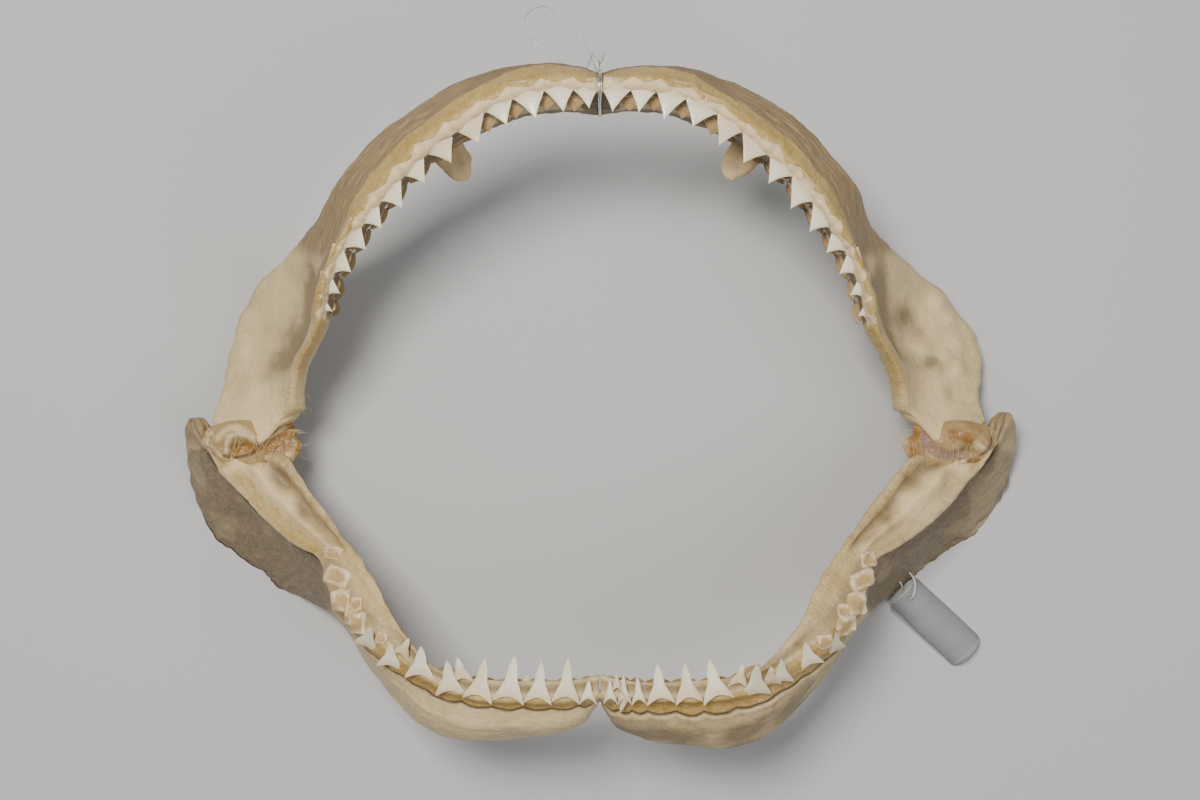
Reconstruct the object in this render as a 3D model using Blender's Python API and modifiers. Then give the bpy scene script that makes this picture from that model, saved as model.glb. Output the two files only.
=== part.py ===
"""Dried, opened shark jaws lying on their rear edges, mouth facing up.

Metres. X runs across the jaws, +Y from the lower jaw to the upper jaw, +Z out of the mouth. Z = 0 is the
table. Each half jaw is a loft: a station gives the gum line point, the way the cartilage faces, and the
corners of the section there, in millimetres outwards from and above that point.
"""

import math
from collections import namedtuple

import bmesh
import bpy
from mathutils import Vector

MM = 0.001
CENTRE_X = 0.09     # brings the middle of the bounding box onto the origin
CENTRE_Y = -5.36
REST_CUT = 0.8      # the resting edges are worn flat by this much

RING_STEPS = 2      # points between two corners of a section
SPAN_STEPS = 2      # sections between two stations
JOINT_GAP = 0.4     # clearance kept round the jaws where other pieces touch them

UpperStation = namedtuple("UpperStation", "x y z out cheek edge heel root")
LowerStation = namedtuple("LowerStation", "x y z out seam bulge edge keel tongue crest")

# Upper half jaw, from the symphysis to the hinge. `out` is the facing in degrees from +Y.
UPPER = (
    UpperStation(-0.7, 144, 135, 0, (9, -3), (13, -15), (7, -34), (-5, -31)),
    UpperStation(-26, 145.4, 134, 8, (9.5, -4), (15, -17), (8, -38), (-5, -36)),
    UpperStation(-55, 135.7, 130, 22, (12, -5), (20.5, -19), (12, -40), (-2, -38)),
    UpperStation(-84.6, 116, 122, 40, (14, -6), (24.5, -20), (15, -43), (3, -41)),
    UpperStation(-107.7, 93.3, 112, 52, (13, -8), (25.3, -23), (18, -46), (6, -43)),
    UpperStation(-124, 72.9, 102, 65, (11, -20), (28, -45), (22, -56), (7, -40)),
    UpperStation(-133.6, 54, 93, 80, (18, -42), (46, -73), (40, -86), (8, -40)),
    UpperStation(-137.9, 35.7, 84, 86, (22, -44), (54, -72), (47, -83), (7, -36)),
    UpperStation(-148, 19.1, 72, 88, (20, -35), (49, -58), (42, -70), (6, -32)),
    UpperStation(-153.2, 4.1, 60, 92, (19, -22), (47, -40), (40, -54), (7, -31)),
    UpperStation(-154.5, -9, 50, 95, (20, -10), (48.5, -22), (42, -38), (8, -29)),
    UpperStation(-158, -18, 44, 98, (16, -5), (35, -12), (30, -27), (8, -25)),
)

# Lower half jaw, from the symphysis to the knob behind the hinge. `out` is the facing in degrees from -Y.
LOWER = (
    LowerStation(-0.5, -142.8, 112, 0, (3, -6), (8, -13), (10.5, -24), (7, -37), (1, -34), (-9, -1)),
    LowerStation(-9, -143.4, 112.5, 3, (3.5, -6), (12.5, -12), (17, -26), (12, -40), (2, -36), (-8, 0)),
    LowerStation(-27.4, -144.1, 113, 6, (4, -6), (16, -12), (22, -27), (16, -42), (3, -38), (-7.5, 1)),
    LowerStation(-55.8, -143.5, 111, 12, (4, -6), (17, -11), (26, -26), (18, -44), (4, -42), (-7.5, 1)),
    LowerStation(-73.9, -140.1, 108, 24, (4, -6), (16, -12), (26, -27), (17, -46), (5, -42), (-7, 1)),
    LowerStation(-88.3, -132, 104, 38, (4, -6), (15, -13), (24, -32), (15, -50), (4, -42), (-6, 1)),
    LowerStation(-107.7, -117.5, 96, 50, (3, -7), (12, -18), (19.5, -46), (12, -58), (-1, -42), (-10.7, 1)),
    LowerStation(-122.3, -104, 86, 58, (1, -8), (8, -24), (19.5, -60), (12, -68), (-3, -36), (-14.7, 0)),
    LowerStation(-133.2, -89.2, 75, 62, (-1, -9), (9, -26), (32, -64), (25, -71), (-7, -26), (-15, 1)),
    LowerStation(-142.1, -80, 66, 58, (-3, -9), (12, -28), (36.5, -63), (29, -67), (-7, -22), (-15, 2)),
    LowerStation(-157.6, -72, 58, 50, (-4, -9), (10, -28), (31, -56), (23, -60), (-12, -20), (-22, 2)),
    LowerStation(-173.9, -59.2, 50, 45, (-4, -9), (10, -26), (31.5, -49), (23, -52), (-16, -20), (-26.5, 2)),
    LowerStation(-187.4, -45, 44, 48, (-3, -8), (12, -22), (32, -43), (24, -45), (-15, -20), (-25.5, 0)),
    LowerStation(-202.4, -27.5, 40, 74, (-1, -6), (8, -13), (18.5, -27), (12, -33), (-5, -22), (-6, -4)),
    LowerStation(-209.3, -11.5, 38, 88, (2, -4), (7, -7), (11, -14), (7, -21), (-1, -20), (-3, -5)),
)

# How far the right side stands off a mirror image of the left, by station: across, along, and flange width.
UPPER_RIGHT = ((0, 0, 0), (0, 0, 0), (-2, 0, 0), (-3, 0, 0), (-4, 0, 0), (-5, 0, -3),
               (-5, 0, 1), (-4, 0, 8), (-3, 0, 8), (-2, 0, 2), (-1, 0, 0), (0, 0, 0))
LOWER_RIGHT = ((0, 0, 1), (0, 0, 2), (0, 0, 3), (0, 0, 3), (-1, 0, 1.5), (-1, 0, 0.5), (0, 0, 1.5),
               (-2, 0, 2.5), (-3, 0, -2.5), (-3.5, 0, -3.5), (-3, 0, -3.5), (-2, 0, -4), (-1, 0, -2),
               (0, 0, 0), (0, 3, 0))

END_ROUND = 2.0             # how far the hinge ends are rounded over
END_SHRINK = 0.72
LIP = (4.5, 1.5)            # rounding of the gum above the upper teeth
PLATE = 6.0                 # thickness of a flange at its edge

# Widths along the gum and heights of the standing teeth, from the symphysis to the corner of the mouth.
UPPER_PITCH = (10.8, 14.5, 15.7, 14.8, 17.4, 17.4, 15.6, 16.6, 14.4, 15.3, 15.2, 12.6, 9.4)
UPPER_CROWN = (11.5, 14.0, 15.0, 13.5, 15.0, 14.5, 13.5, 13.5, 12.0, 11.5, 10.5, 9.0, 7.0)
LOWER_PITCH_LEFT = (8.5, 13.2, 13.4, 15.0, 14.8, 17.0, 14.5, 13.0, 12.5, 12.0, 11.0, 9.0)
LOWER_CROWN_LEFT = (8.0, 19.0, 17.5, 20.0, 18.0, 17.0, 16.5, 12.0, 10.0, 9.0, 7.5, 6.0)
LOWER_PITCH_RIGHT = (7.0, 6.5, 7.5, 13.5, 13.5, 15.0, 20.0, 13.0, 13.0, 12.5, 12.0, 11.0, 9.0)
LOWER_CROWN_RIGHT = (8.0, 11.0, 10.0, 16.0, 17.0, 18.0, 17.5, 16.0, 12.0, 10.0, 9.0, 7.5, 6.0)
UPPER_OUTLINE = ((0.48, 0.24), (0.25, 0.58), (0.04, 1.0))     # half widths and heights of a crown
LOWER_OUTLINE = ((0.46, 0.16), (0.16, 0.42), (0.045, 1.0))
TOOTH_THICKNESS = 4.0
TOOTH_TAPER = 0.7           # the share of its thickness that a tooth loses by its tip
TOOTH_ROOT = 2.5            # how far a tooth is sunk in the gum
FIRST_TOOTH = 1.0           # from the symphysis
UPPER_SEAT = (3.2, 0.0)     # where the teeth stand in a section, and the way they point there
UPPER_LEAN = (-1.0, -0.1)
LOWER_SEAT = (-1.5, 0.0)
LOWER_LEAN = (-1.0, 0.16)
FINE_STEPS = 40             # measuring points between two stations

ORBITAL_SPAN = 2.66         # station at which the orbital process stands
ORBITAL_BASE = (4.0, -40.0)
ORBITAL_TIP = (-13.5, -52.0)
ORBITAL_WIDTH = 14.0
ORBITAL_THICKNESS = 9.0
ORBITAL_OVERLAP = 1.15      # it runs on past its base and tip by this factor

LIGAMENT_CENTRE = (-178.5, -22.5, 42.0)
LIGAMENT_RADII = (26.5, 8.5, 9.0)
LIGAMENT_TURN = 14.0

WIRE_RADIUS = 0.35
WIRE_CLEARANCE = 0.9        # the wire's centre line outside the symphysis
TWIST_FOOT = (13.6, -11.0)  # in the section at the symphysis
TWIST_AIM = (0.0, 0.8, 1.0)
TWIST_LENGTH = 6.0
TWIST_RADIUS = 0.8

LINE_RADIUS = 0.4
LINE_LOOP = ((1.1, 158.9, 116.8), (1.5, 163.0, 116.2), (1.8, 167.2, 111.0), (1.6, 169.0, 99.0),
             (1.0, 169.8, 80.0), (0.2, 170.6, 60.0), (-0.6, 171.8, 40.0), (-1.4, 174.0, 22.0),
             (-2.4, 177.6, 9.0), (-4.0, 182.5, 2.6), (-5.8, 188.0, 1.3), (-8.5, 193.8, 1.3),
             (-12.5, 198.6, 1.3), (-17.8, 203.6, 1.3), (-23.0, 209.0, 1.3), (-28.7, 213.0, 1.3),
             (-35.0, 212.4, 1.3), (-40.4, 208.2, 1.3), (-41.2, 202.0, 1.3), (-37.6, 196.0, 1.3),
             (-31.8, 190.0, 1.3), (-25.2, 185.2, 1.3), (-18.4, 180.8, 3.2), (-13.0, 177.2, 10.0),
             (-9.6, 174.2, 22.0), (-7.4, 172.0, 40.0), (-5.8, 170.8, 60.0), (-4.6, 169.9, 80.0),
             (-3.6, 169.0, 99.0), (-2.8, 166.8, 110.5), (-2.0, 162.6, 115.4), (-1.2, 158.9, 115.9))

TAG_LENGTH = 48.0
TAG_WIDTH = 28.0            # flat; it is curled to about 21 across
TAG_THICKNESS = 0.5
TAG_CURL_RADIUS = 11.0
TAG_CORNER = 4.0
TAG_CENTRE = (180.7, -119.5)
TAG_TURN = -44.0            # its length, in degrees from +X
TAG_CLEARANCE = 0.2         # above the table
TAG_HOLE_RADIUS = 1.5
TAG_HOLE_INSET = 5.0
TAG_FACES = (2, 8)          # along and across it

THREAD_RADIUS = 0.5
THREAD_PATH = ((165.4, -92.6, 12.2), (166.3, -93.2, 10.5), (167.9, -95.0, 8.6), (169.2, -98.6, 9.4),
               (168.6, -103.0, 10.6), (167.4, -105.8, 9.6), (166.8, -106.4, 6.4), (165.4, -105.2, 3.4),
               (163.4, -102.9, 3.6), (162.6, -100.4, 6.0), (161.5, -98.8, 9.9), (160.1, -97.3, 13.6))
THREAD_STEPS = 2            # pieces between two points of its path


def clear_scene():
    for item in list(bpy.data.objects):
        bpy.data.objects.remove(item, do_unlink=True)


def make_collection(name, cutters=False):
    made = bpy.data.collections.new(name)
    bpy.context.scene.collection.children.link(made)
    made.hide_render = cutters
    return made


def cutter_from(name, mesh_data, collection):
    """A cutter shows as wires only, and never in a render."""
    made = object_from(name, mesh_data, collection)
    made.display_type = "WIRE"
    made.hide_render = True
    return made


def make_material(name, colour, roughness, metallic=0.0):
    made = bpy.data.materials.new(name)
    made.use_nodes = True
    shader = made.node_tree.nodes["Principled BSDF"]
    shader.inputs["Base Color"].default_value = (*colour, 1.0)
    shader.inputs["Roughness"].default_value = roughness
    shader.inputs["Metallic"].default_value = metallic
    return made


def object_from(name, mesh_data, collection, material=None):
    """A mesh object with outward normals, from a bmesh that is freed here."""
    bmesh.ops.recalc_face_normals(mesh_data, faces=mesh_data.faces)
    mesh = bpy.data.meshes.new(name)
    mesh_data.to_mesh(mesh)
    mesh_data.free()
    if material is not None:
        mesh.materials.append(material)
    made = bpy.data.objects.new(name, mesh)
    collection.objects.link(made)
    return made


def combine(target, other, operation):
    """Joins or cuts `target` by `other`, which is then removed."""
    modifier = target.modifiers.new("combine", "BOOLEAN")
    modifier.operation = operation
    modifier.solver = "EXACT"
    modifier.object = other
    bpy.context.view_layer.update()
    graph = bpy.context.evaluated_depsgraph_get()
    mesh = bpy.data.meshes.new_from_object(target.evaluated_get(graph))
    target.modifiers.clear()
    material = target.data.materials[0] if target.data.materials else None
    target.data = mesh
    mesh.materials.clear()
    if material is not None:
        mesh.materials.append(material)
    bpy.data.objects.remove(other, do_unlink=True)


def blend(before, start, end, after, t):
    """Catmull-Rom value between start and end; numbers or pairs."""
    if isinstance(start, tuple):
        return tuple(blend(*four, t) for four in zip(before, start, end, after))
    return 0.5 * (
        2 * start
        + (end - before) * t
        + (2 * before - 5 * start + 4 * end - after) * t * t
        + (3 * start - before - 3 * end + after) * t ** 3
    )


def station_at(stations, place):
    """The station at a fractional index."""
    last = len(stations) - 1
    i = min(int(place), last - 1)
    four = (stations[max(i - 1, 0)], stations[i], stations[i + 1], stations[min(i + 2, last)])
    return type(stations[0])(*(blend(*fields, place - i) for fields in zip(*four)))


def upper_corners(s):
    under = (s.edge[0] - 0.6 * PLATE, s.edge[1] - 0.9 * PLATE)
    tongue = (0.5 * s.root[0] - 2.0, 0.55 * s.root[1])
    bed = (-2.0, -6.0)
    return ((0.0, 0.0), LIP, s.cheek, s.edge, under, s.heel, s.root, tongue, bed)


def lower_corners(s):
    under = (s.edge[0] - 1.5, s.edge[1] - 3.0)
    back = (0.4 * s.keel[0] + 0.6 * s.tongue[0] + 1.0, 0.4 * s.keel[1] + 0.6 * s.tongue[1])
    bed = (0.5 * s.crest[0], 0.5 * s.crest[1] - 1.0)
    rim = (s.crest[0] - 0.8, s.crest[1] - 5.0)
    return ((0.0, 0.0), s.seam, s.bulge, s.edge, under, s.keel, back, s.tongue, rim, s.crest, bed)


def smooth_ring(corners, grow=0.0):
    """The corners joined by a closed smooth curve, moved outwards by `grow`."""
    count = len(corners)
    ring = []
    for i in range(count):
        four = [corners[(i + k) % count] for k in (-1, 0, 1, 2)]
        ring += [blend(*four, k / RING_STEPS) for k in range(RING_STEPS)]
    if not grow:
        return ring
    grown = []
    for i, (r, z) in enumerate(ring):
        before = ring[i - 1]
        after = ring[(i + 1) % len(ring)]
        dr = after[0] - before[0]
        dz = after[1] - before[1]
        length = math.hypot(dr, dz)
        grown.append((r - grow * dz / length, z + grow * dr / length))
    return grown


def placed(s, point, upper, side):
    """A section point (outwards, above) of station s, in metres. side is -1 for left and 1 for right."""
    turn = math.radians(s.out)
    across = s.x - math.sin(turn) * point[0]
    along = s.y + (1 if upper else -1) * math.cos(turn) * point[0]
    return Vector((-side * across, along, s.z + point[1])) * MM


def sided(stations, offsets, side):
    """The stations of one side; the right side is a mirror image with its own offsets."""
    if side < 0:
        return stations
    changed = []
    for s, (across, along, flange) in zip(stations, offsets):
        edge = (s.edge[0] + flange, s.edge[1])
        changed.append(s._replace(x=s.x - across, y=s.y + along, edge=edge))
    return tuple(changed)


def half_stations(upper, side):
    return sided(UPPER, UPPER_RIGHT, side) if upper else sided(LOWER, LOWER_RIGHT, side)


def rounded_end(mesh, before, last):
    """A smaller section just past the last one, straight out from it."""
    middles = [sum((v.co for v in ring), Vector()) / len(ring) for ring in (before, last)]
    third = len(last) // 3
    square = (last[third].co - last[0].co).cross(last[2 * third].co - last[0].co).normalized()
    if square.dot(middles[1] - middles[0]) < 0:
        square.negate()
    onwards = middles[1] + square * END_ROUND * MM
    return [mesh.verts.new(onwards + (v.co - middles[1]) * END_SHRINK) for v in last]


def loft(upper, side, grow=0.0):
    """A bmesh skinned over the sections of one half jaw."""
    stations = half_stations(upper, side)
    corners_of = upper_corners if upper else lower_corners
    mesh = bmesh.new()
    rings = []
    for i in range((len(stations) - 1) * SPAN_STEPS + 1):
        s = station_at(stations, i / SPAN_STEPS)
        section = smooth_ring(corners_of(s), grow)
        rings.append([mesh.verts.new(placed(s, p, upper, side)) for p in section])
    rings.append(rounded_end(mesh, rings[-2], rings[-1]))
    for one, two in zip(rings, rings[1:]):
        for i in range(len(one)):
            j = (i + 1) % len(one)
            mesh.faces.new((one[i], one[j], two[j], two[i]))
    for ring in (rings[0], rings[-1]):
        mesh.faces.new(ring)
    bmesh.ops.triangulate(mesh, faces=mesh.faces)
    return mesh


def places_along(stations, pitches):
    """Fractional station indices at the middle of each pitch, measured along the gum line."""
    count = (len(stations) - 1) * FINE_STEPS + 1
    points = [Vector(station_at(stations, i / FINE_STEPS)[:3]) for i in range(count)]
    travelled = [0.0]
    for a, b in zip(points, points[1:]):
        travelled.append(travelled[-1] + (b - a).length)
    found = []
    reached = FIRST_TOOTH
    for pitch in pitches:
        wanted = reached + pitch / 2
        reached += pitch
        k = next(i for i, d in enumerate(travelled) if d >= wanted)
        found.append((k - (travelled[k] - wanted) / (travelled[k] - travelled[k - 1])) / FINE_STEPS)
    return found


def add_tooth(mesh, outline, base, towards, across, width, crown):
    """A flat crown with this outline standing on `base`, in metres, with its root sunk behind it."""
    towards = towards.normalized()
    facing = across.cross(towards).normalized()
    across = towards.cross(facing).normalized()
    levels = [(outline[0][0], -TOOTH_ROOT)] + [(a, h * crown) for a, h in outline]
    rings = []
    for half, height in levels:
        thick = TOOTH_THICKNESS / 2 * (1 - TOOTH_TAPER * max(height, 0.0) / crown)
        wide = half * width
        corners = ((-wide, -thick), (wide, -thick), (wide, thick), (-wide, thick))
        offsets = [across * a + towards * height + facing * f for a, f in corners]
        rings.append([mesh.verts.new(base + offset * MM) for offset in offsets])
    for one, two in zip(rings, rings[1:]):
        for i in range(4):
            j = (i + 1) % 4
            mesh.faces.new((one[i], one[j], two[j], two[i]))
    mesh.faces.new(rings[0])
    mesh.faces.new(rings[-1])


def tooth_sizes(upper, side):
    if upper:
        return UPPER_PITCH, UPPER_CROWN
    if side < 0:
        return LOWER_PITCH_LEFT, LOWER_CROWN_LEFT
    return LOWER_PITCH_RIGHT, LOWER_CROWN_RIGHT


def teeth_of(upper, side):
    """All crowns of one half jaw in one bmesh."""
    stations = half_stations(upper, side)
    pitches, crowns = tooth_sizes(upper, side)
    outline = UPPER_OUTLINE if upper else LOWER_OUTLINE
    mesh = bmesh.new()
    for place, pitch, crown in zip(places_along(stations, pitches), pitches, crowns):
        s = station_at(stations, place)
        nearby = station_at(stations, place + 0.05)
        across = placed(nearby, (0, 0), upper, side) - placed(s, (0, 0), upper, side)
        seat, lean = (UPPER_SEAT, UPPER_LEAN) if upper else (LOWER_SEAT, LOWER_LEAN)
        base = placed(s, seat, upper, side)
        tip = placed(s, (seat[0] + lean[0], seat[1] + lean[1]), upper, side)
        add_tooth(mesh, outline, base, tip - base, across, pitch, crown)
    return mesh


def add_orbital_process(mesh, side):
    """The tongue of cartilage that stands inwards and back from the upper jaw."""
    s = station_at(half_stations(True, side), ORBITAL_SPAN)
    base = placed(s, ORBITAL_BASE, True, side)
    tip = placed(s, ORBITAL_TIP, True, side)
    made = bmesh.ops.create_uvsphere(mesh, u_segments=10, v_segments=6, radius=1.0)["verts"]
    along = tip - base
    middle = (tip + base) / 2
    half = along.length / 2 * ORBITAL_OVERLAP
    along.normalize()
    flat = Vector((0, 0, 1)).cross(along).normalized()
    up = along.cross(flat)
    for vert in made:
        x = vert.co.x * ORBITAL_WIDTH / 2 * MM
        y = vert.co.y * ORBITAL_THICKNESS / 2 * MM
        vert.co = middle + along * vert.co.z * half + flat * x + up * y


def box(name, low, high, collection):
    mesh = bmesh.new()
    made = bmesh.ops.create_cube(mesh, size=1.0)["verts"]
    for vert in made:
        vert.co = [(a + b) / 2 * MM + c * (b - a) * MM for a, b, c in zip(low, high, vert.co)]
    return cutter_from(name, mesh, collection)


def wear_flat(target, collection):
    """Cuts the resting edges level with the table."""
    cutter = box("table_cut", (-300, -300, -60), (300, 300, REST_CUT), collection)
    combine(target, cutter, "DIFFERENCE")


def half_jaw(name, upper, side, collection, cutters, material):
    jaw = object_from(name, loft(upper, side), collection, material)
    combine(jaw, cutter_from("crowns", teeth_of(upper, side), cutters), "UNION")
    if upper:
        mesh = bmesh.new()
        add_orbital_process(mesh, side)
        combine(jaw, cutter_from("process", mesh, cutters), "UNION")
    wear_flat(jaw, cutters)
    return jaw


def joint_ligament(name, side, collection, cutters, material):
    """Dried tissue across the hinge, clear of both half jaws."""
    mesh = bmesh.new()
    made = bmesh.ops.create_uvsphere(mesh, u_segments=14, v_segments=8, radius=1.0)["verts"]
    turn = math.radians(LIGAMENT_TURN)
    for vert in made:
        x = vert.co.x * LIGAMENT_RADII[0]
        y = vert.co.y * LIGAMENT_RADII[1]
        across = LIGAMENT_CENTRE[0] + x * math.cos(turn) + y * math.sin(turn)
        along = LIGAMENT_CENTRE[1] - x * math.sin(turn) + y * math.cos(turn)
        up = LIGAMENT_CENTRE[2] + vert.co.z * LIGAMENT_RADII[2]
        vert.co = Vector((-side * across, along, up)) * MM
    ligament = object_from(name, mesh, collection, material)
    for upper in (True, False):
        cutter = cutter_from("clearance", loft(upper, side, JOINT_GAP), cutters)
        combine(ligament, cutter, "DIFFERENCE")
    return ligament


def tube(name, points, radius, collection, material, closed=False):
    """A round tube through points given in millimetres."""
    curve = bpy.data.curves.new(name, "CURVE")
    curve.dimensions = "3D"
    curve.bevel_depth = radius * MM
    curve.bevel_resolution = 1
    curve.use_fill_caps = not closed
    spline = curve.splines.new("POLY")
    spline.points.add(len(points) - 1)
    for slot, point in zip(spline.points, points):
        slot.co = (*(c * MM for c in point), 1.0)
    spline.use_cyclic_u = closed
    made = bpy.data.objects.new(name + "_path", curve)
    bpy.context.scene.collection.objects.link(made)
    bpy.context.view_layer.update()
    graph = bpy.context.evaluated_depsgraph_get()
    mesh = bpy.data.meshes.new_from_object(made.evaluated_get(graph))
    bpy.data.objects.remove(made, do_unlink=True)
    work = bmesh.new()
    work.from_mesh(mesh)
    bmesh.ops.remove_doubles(work, verts=work.verts, dist=0.00001)
    return object_from(name, work, collection, material)


def through(points, steps):
    """Points on a smooth curve through the given ones."""
    last = len(points) - 1
    made = []
    for i in range(last):
        four = [points[min(max(i + k, 0), last)] for k in (-1, 0, 1, 2)]
        made += [blend(*four, k / steps) for k in range(steps)]
    return made + [points[-1]]


def add_cone(mesh, low_radius, high_radius, length, sides):
    """The vertices of a capped cone about Z, in the units of the given sizes."""
    return bmesh.ops.create_cone(
        mesh, cap_ends=True, segments=sides, radius1=low_radius, radius2=high_radius, depth=length
    )["verts"]


def symphysis_wire(collection, cutters, material):
    """A closed loop round the meeting of the upper halves, with its twisted end."""
    s = UPPER[0]._replace(x=0.0)
    path = [placed(s, p, True, -1) / MM for p in smooth_ring(upper_corners(s), WIRE_CLEARANCE)]
    wire = tube("symphysis_wire", path, WIRE_RADIUS, collection, material, closed=True)
    mesh = bmesh.new()
    made = add_cone(mesh, TWIST_RADIUS, 0.6 * TWIST_RADIUS, TWIST_LENGTH, 8)
    foot = placed(s, TWIST_FOOT, True, -1)
    aim = Vector(TWIST_AIM).normalized()
    side = Vector((1.0, 0.0, 0.0))
    for vert in made:
        x, y, z = vert.co
        vert.co = foot + aim * (z + TWIST_LENGTH / 2) * MM + (side * x + aim.cross(side) * y) * MM
    combine(wire, cutter_from("twist", mesh, cutters), "UNION")
    return wire


def tag_point(along, across):
    """A point on the curled tag's middle surface: along and across it when flat."""
    angle = across / TAG_CURL_RADIUS
    half = 0.5 * TAG_WIDTH / TAG_CURL_RADIUS
    low = TAG_CURL_RADIUS * math.cos(half) - TAG_THICKNESS / 2
    y = TAG_CURL_RADIUS * math.sin(angle)
    z = TAG_CURL_RADIUS * math.cos(angle) - low + TAG_CLEARANCE + REST_CUT
    turn = math.radians(TAG_TURN)
    return Vector((
        TAG_CENTRE[0] + along * math.cos(turn) - y * math.sin(turn),
        TAG_CENTRE[1] + along * math.sin(turn) + y * math.cos(turn),
        z,
    )) * MM


def tag_end(across):
    """Half the tag's length at a line across it, less the rounding of its corners."""
    into = abs(across) - (TAG_WIDTH / 2 - TAG_CORNER)
    if into <= 0:
        return TAG_LENGTH / 2
    return TAG_LENGTH / 2 - TAG_CORNER + math.sqrt(max(TAG_CORNER ** 2 - into ** 2, 0.0))


def paper_tag(collection, cutters, material):
    """A curled card with rounded corners and a hole for its thread."""
    mesh = bmesh.new()
    along, wide = TAG_FACES
    made = bmesh.ops.create_grid(mesh, x_segments=along, y_segments=wide, size=1.0)["verts"]
    for vert in made:
        across = math.sin(math.pi / 2 * vert.co.y) * TAG_WIDTH / 2
        vert.co = tag_point(tag_end(across) * vert.co.x, across)
    tag = object_from("paper_tag", mesh, collection, material)
    shell = tag.modifiers.new("card", "SOLIDIFY")
    shell.thickness = TAG_THICKNESS * MM
    shell.offset = 0.0
    hole = bmesh.new()
    centre = tag_point(TAG_HOLE_INSET - TAG_LENGTH / 2, 0.0)
    for vert in add_cone(hole, TAG_HOLE_RADIUS, TAG_HOLE_RADIUS, 12 * TAG_THICKNESS, 10):
        vert.co = centre + vert.co * MM
    combine(tag, cutter_from("hole", hole, cutters), "DIFFERENCE")
    return tag


def settle(collection):
    """Brings the worn flats onto the table and the middle of the box onto the origin."""
    for item in collection.objects:
        for vert in item.data.vertices:
            vert.co = vert.co - Vector((CENTRE_X, CENTRE_Y, REST_CUT)) * MM
        item.data.update()


def main():
    clear_scene()
    body = make_collection("shark_jaw")
    cutters = make_collection("shark_jaw_cutters", cutters=True)
    cartilage = make_material("dried_cartilage", (0.66, 0.55, 0.36), 0.6)
    sinew = make_material("dried_ligament", (0.50, 0.28, 0.08), 0.4)
    steel = make_material("tie_wire", (0.75, 0.76, 0.78), 0.25, 1.0)
    nylon = make_material("nylon_line", (0.80, 0.82, 0.84), 0.2)
    paper = make_material("tag_paper", (0.70, 0.71, 0.74), 0.8)
    cotton = make_material("tag_thread", (0.78, 0.78, 0.76), 0.9)
    half_jaw("upper_jaw_left", True, -1, body, cutters, cartilage)
    half_jaw("upper_jaw_right", True, 1, body, cutters, cartilage)
    half_jaw("lower_jaw_left", False, -1, body, cutters, cartilage)
    half_jaw("lower_jaw_right", False, 1, body, cutters, cartilage)
    joint_ligament("joint_ligament_left", -1, body, cutters, sinew)
    joint_ligament("joint_ligament_right", 1, body, cutters, sinew)
    symphysis_wire(body, cutters, steel)
    tube("hanging_line", LINE_LOOP, LINE_RADIUS, body, nylon)
    paper_tag(body, cutters, paper)
    tube("tag_thread", through(THREAD_PATH, THREAD_STEPS), THREAD_RADIUS, body, cotton)
    settle(body)


main()
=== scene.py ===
"""Dried, opened jaws of a requiem shark, lying on their rear edges with the mouth facing up.

The cartilage, the teeth, the ligaments of the hinges, the wire of the upper symphysis, the clear line and
the paper tag are fine meshes with procedural finishes. Shapes are worked out in millimetres in the
maker's frame, where the gum line was measured, and moved to the row frame in metres at the end.
"""

import logging
import math
from dataclasses import dataclass, field
from enum import Enum
from itertools import product
from typing import Any, ClassVar, NamedTuple, Sequence

import bmesh
import bpy
import numpy as np
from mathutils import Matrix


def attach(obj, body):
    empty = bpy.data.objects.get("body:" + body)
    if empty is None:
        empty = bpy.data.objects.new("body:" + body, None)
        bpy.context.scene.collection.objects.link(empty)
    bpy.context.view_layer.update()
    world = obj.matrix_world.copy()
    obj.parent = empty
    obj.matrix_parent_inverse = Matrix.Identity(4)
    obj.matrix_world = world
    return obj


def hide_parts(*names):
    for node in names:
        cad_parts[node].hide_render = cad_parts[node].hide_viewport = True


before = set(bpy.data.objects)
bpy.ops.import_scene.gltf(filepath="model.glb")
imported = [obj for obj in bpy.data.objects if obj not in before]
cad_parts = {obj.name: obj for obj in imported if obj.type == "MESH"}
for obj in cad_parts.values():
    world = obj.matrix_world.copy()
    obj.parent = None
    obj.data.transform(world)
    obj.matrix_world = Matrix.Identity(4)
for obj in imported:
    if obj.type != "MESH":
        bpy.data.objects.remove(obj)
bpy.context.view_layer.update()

log = logging.getLogger("shark_jaws")

Array = np.ndarray
Pair = tuple[float, float]
Triple = tuple[float, float, float]
Colour = tuple[float, float, float]

MM = 0.001
SETTLED = np.array((0.09, -5.36, 0.8))   # the maker's frame to the row frame, in millimetres
LIP: Pair = (4.5, 1.5)                   # rounding of the gum above the upper teeth
PLATE = 6.0                              # thickness of a flange at its edge
FIRST_TOOTH = 1.0                        # from the symphysis to the first tooth's side
OUTER_SHARE = 0.55                       # of a section's length, counted outwards from the gum line
TOOTH_CREASE = 60.0                      # degrees above which an edge of a tooth stays sharp
PLATE_SEED = 200                         # the first of the worn teeth's seeds
AXIS_PRIMES = np.array((73856093, 19349663, 83492791))     # they spread a cell's place in the noise
SEED_PRIME = 15485863
SCRAMBLE = 1274126177
LOW_32, LOW_16 = 0xFFFFFFFF, 0xFFFF


class Side(Enum):
    """The animal's half as seen in the picture: left is towards -X."""

    LEFT = -1
    RIGHT = 1


class Arch(Enum):
    """The upper jaw opens towards +Y and the lower jaw towards -Y."""

    UPPER = 1
    LOWER = -1


class Cap(Enum):
    """How the first and last rows of a grid are closed."""

    OPEN = "open"
    FAN = "fan"          # to the middle of the row
    STRIP = "strip"      # straight across, for a flat row that runs out and back


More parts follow.
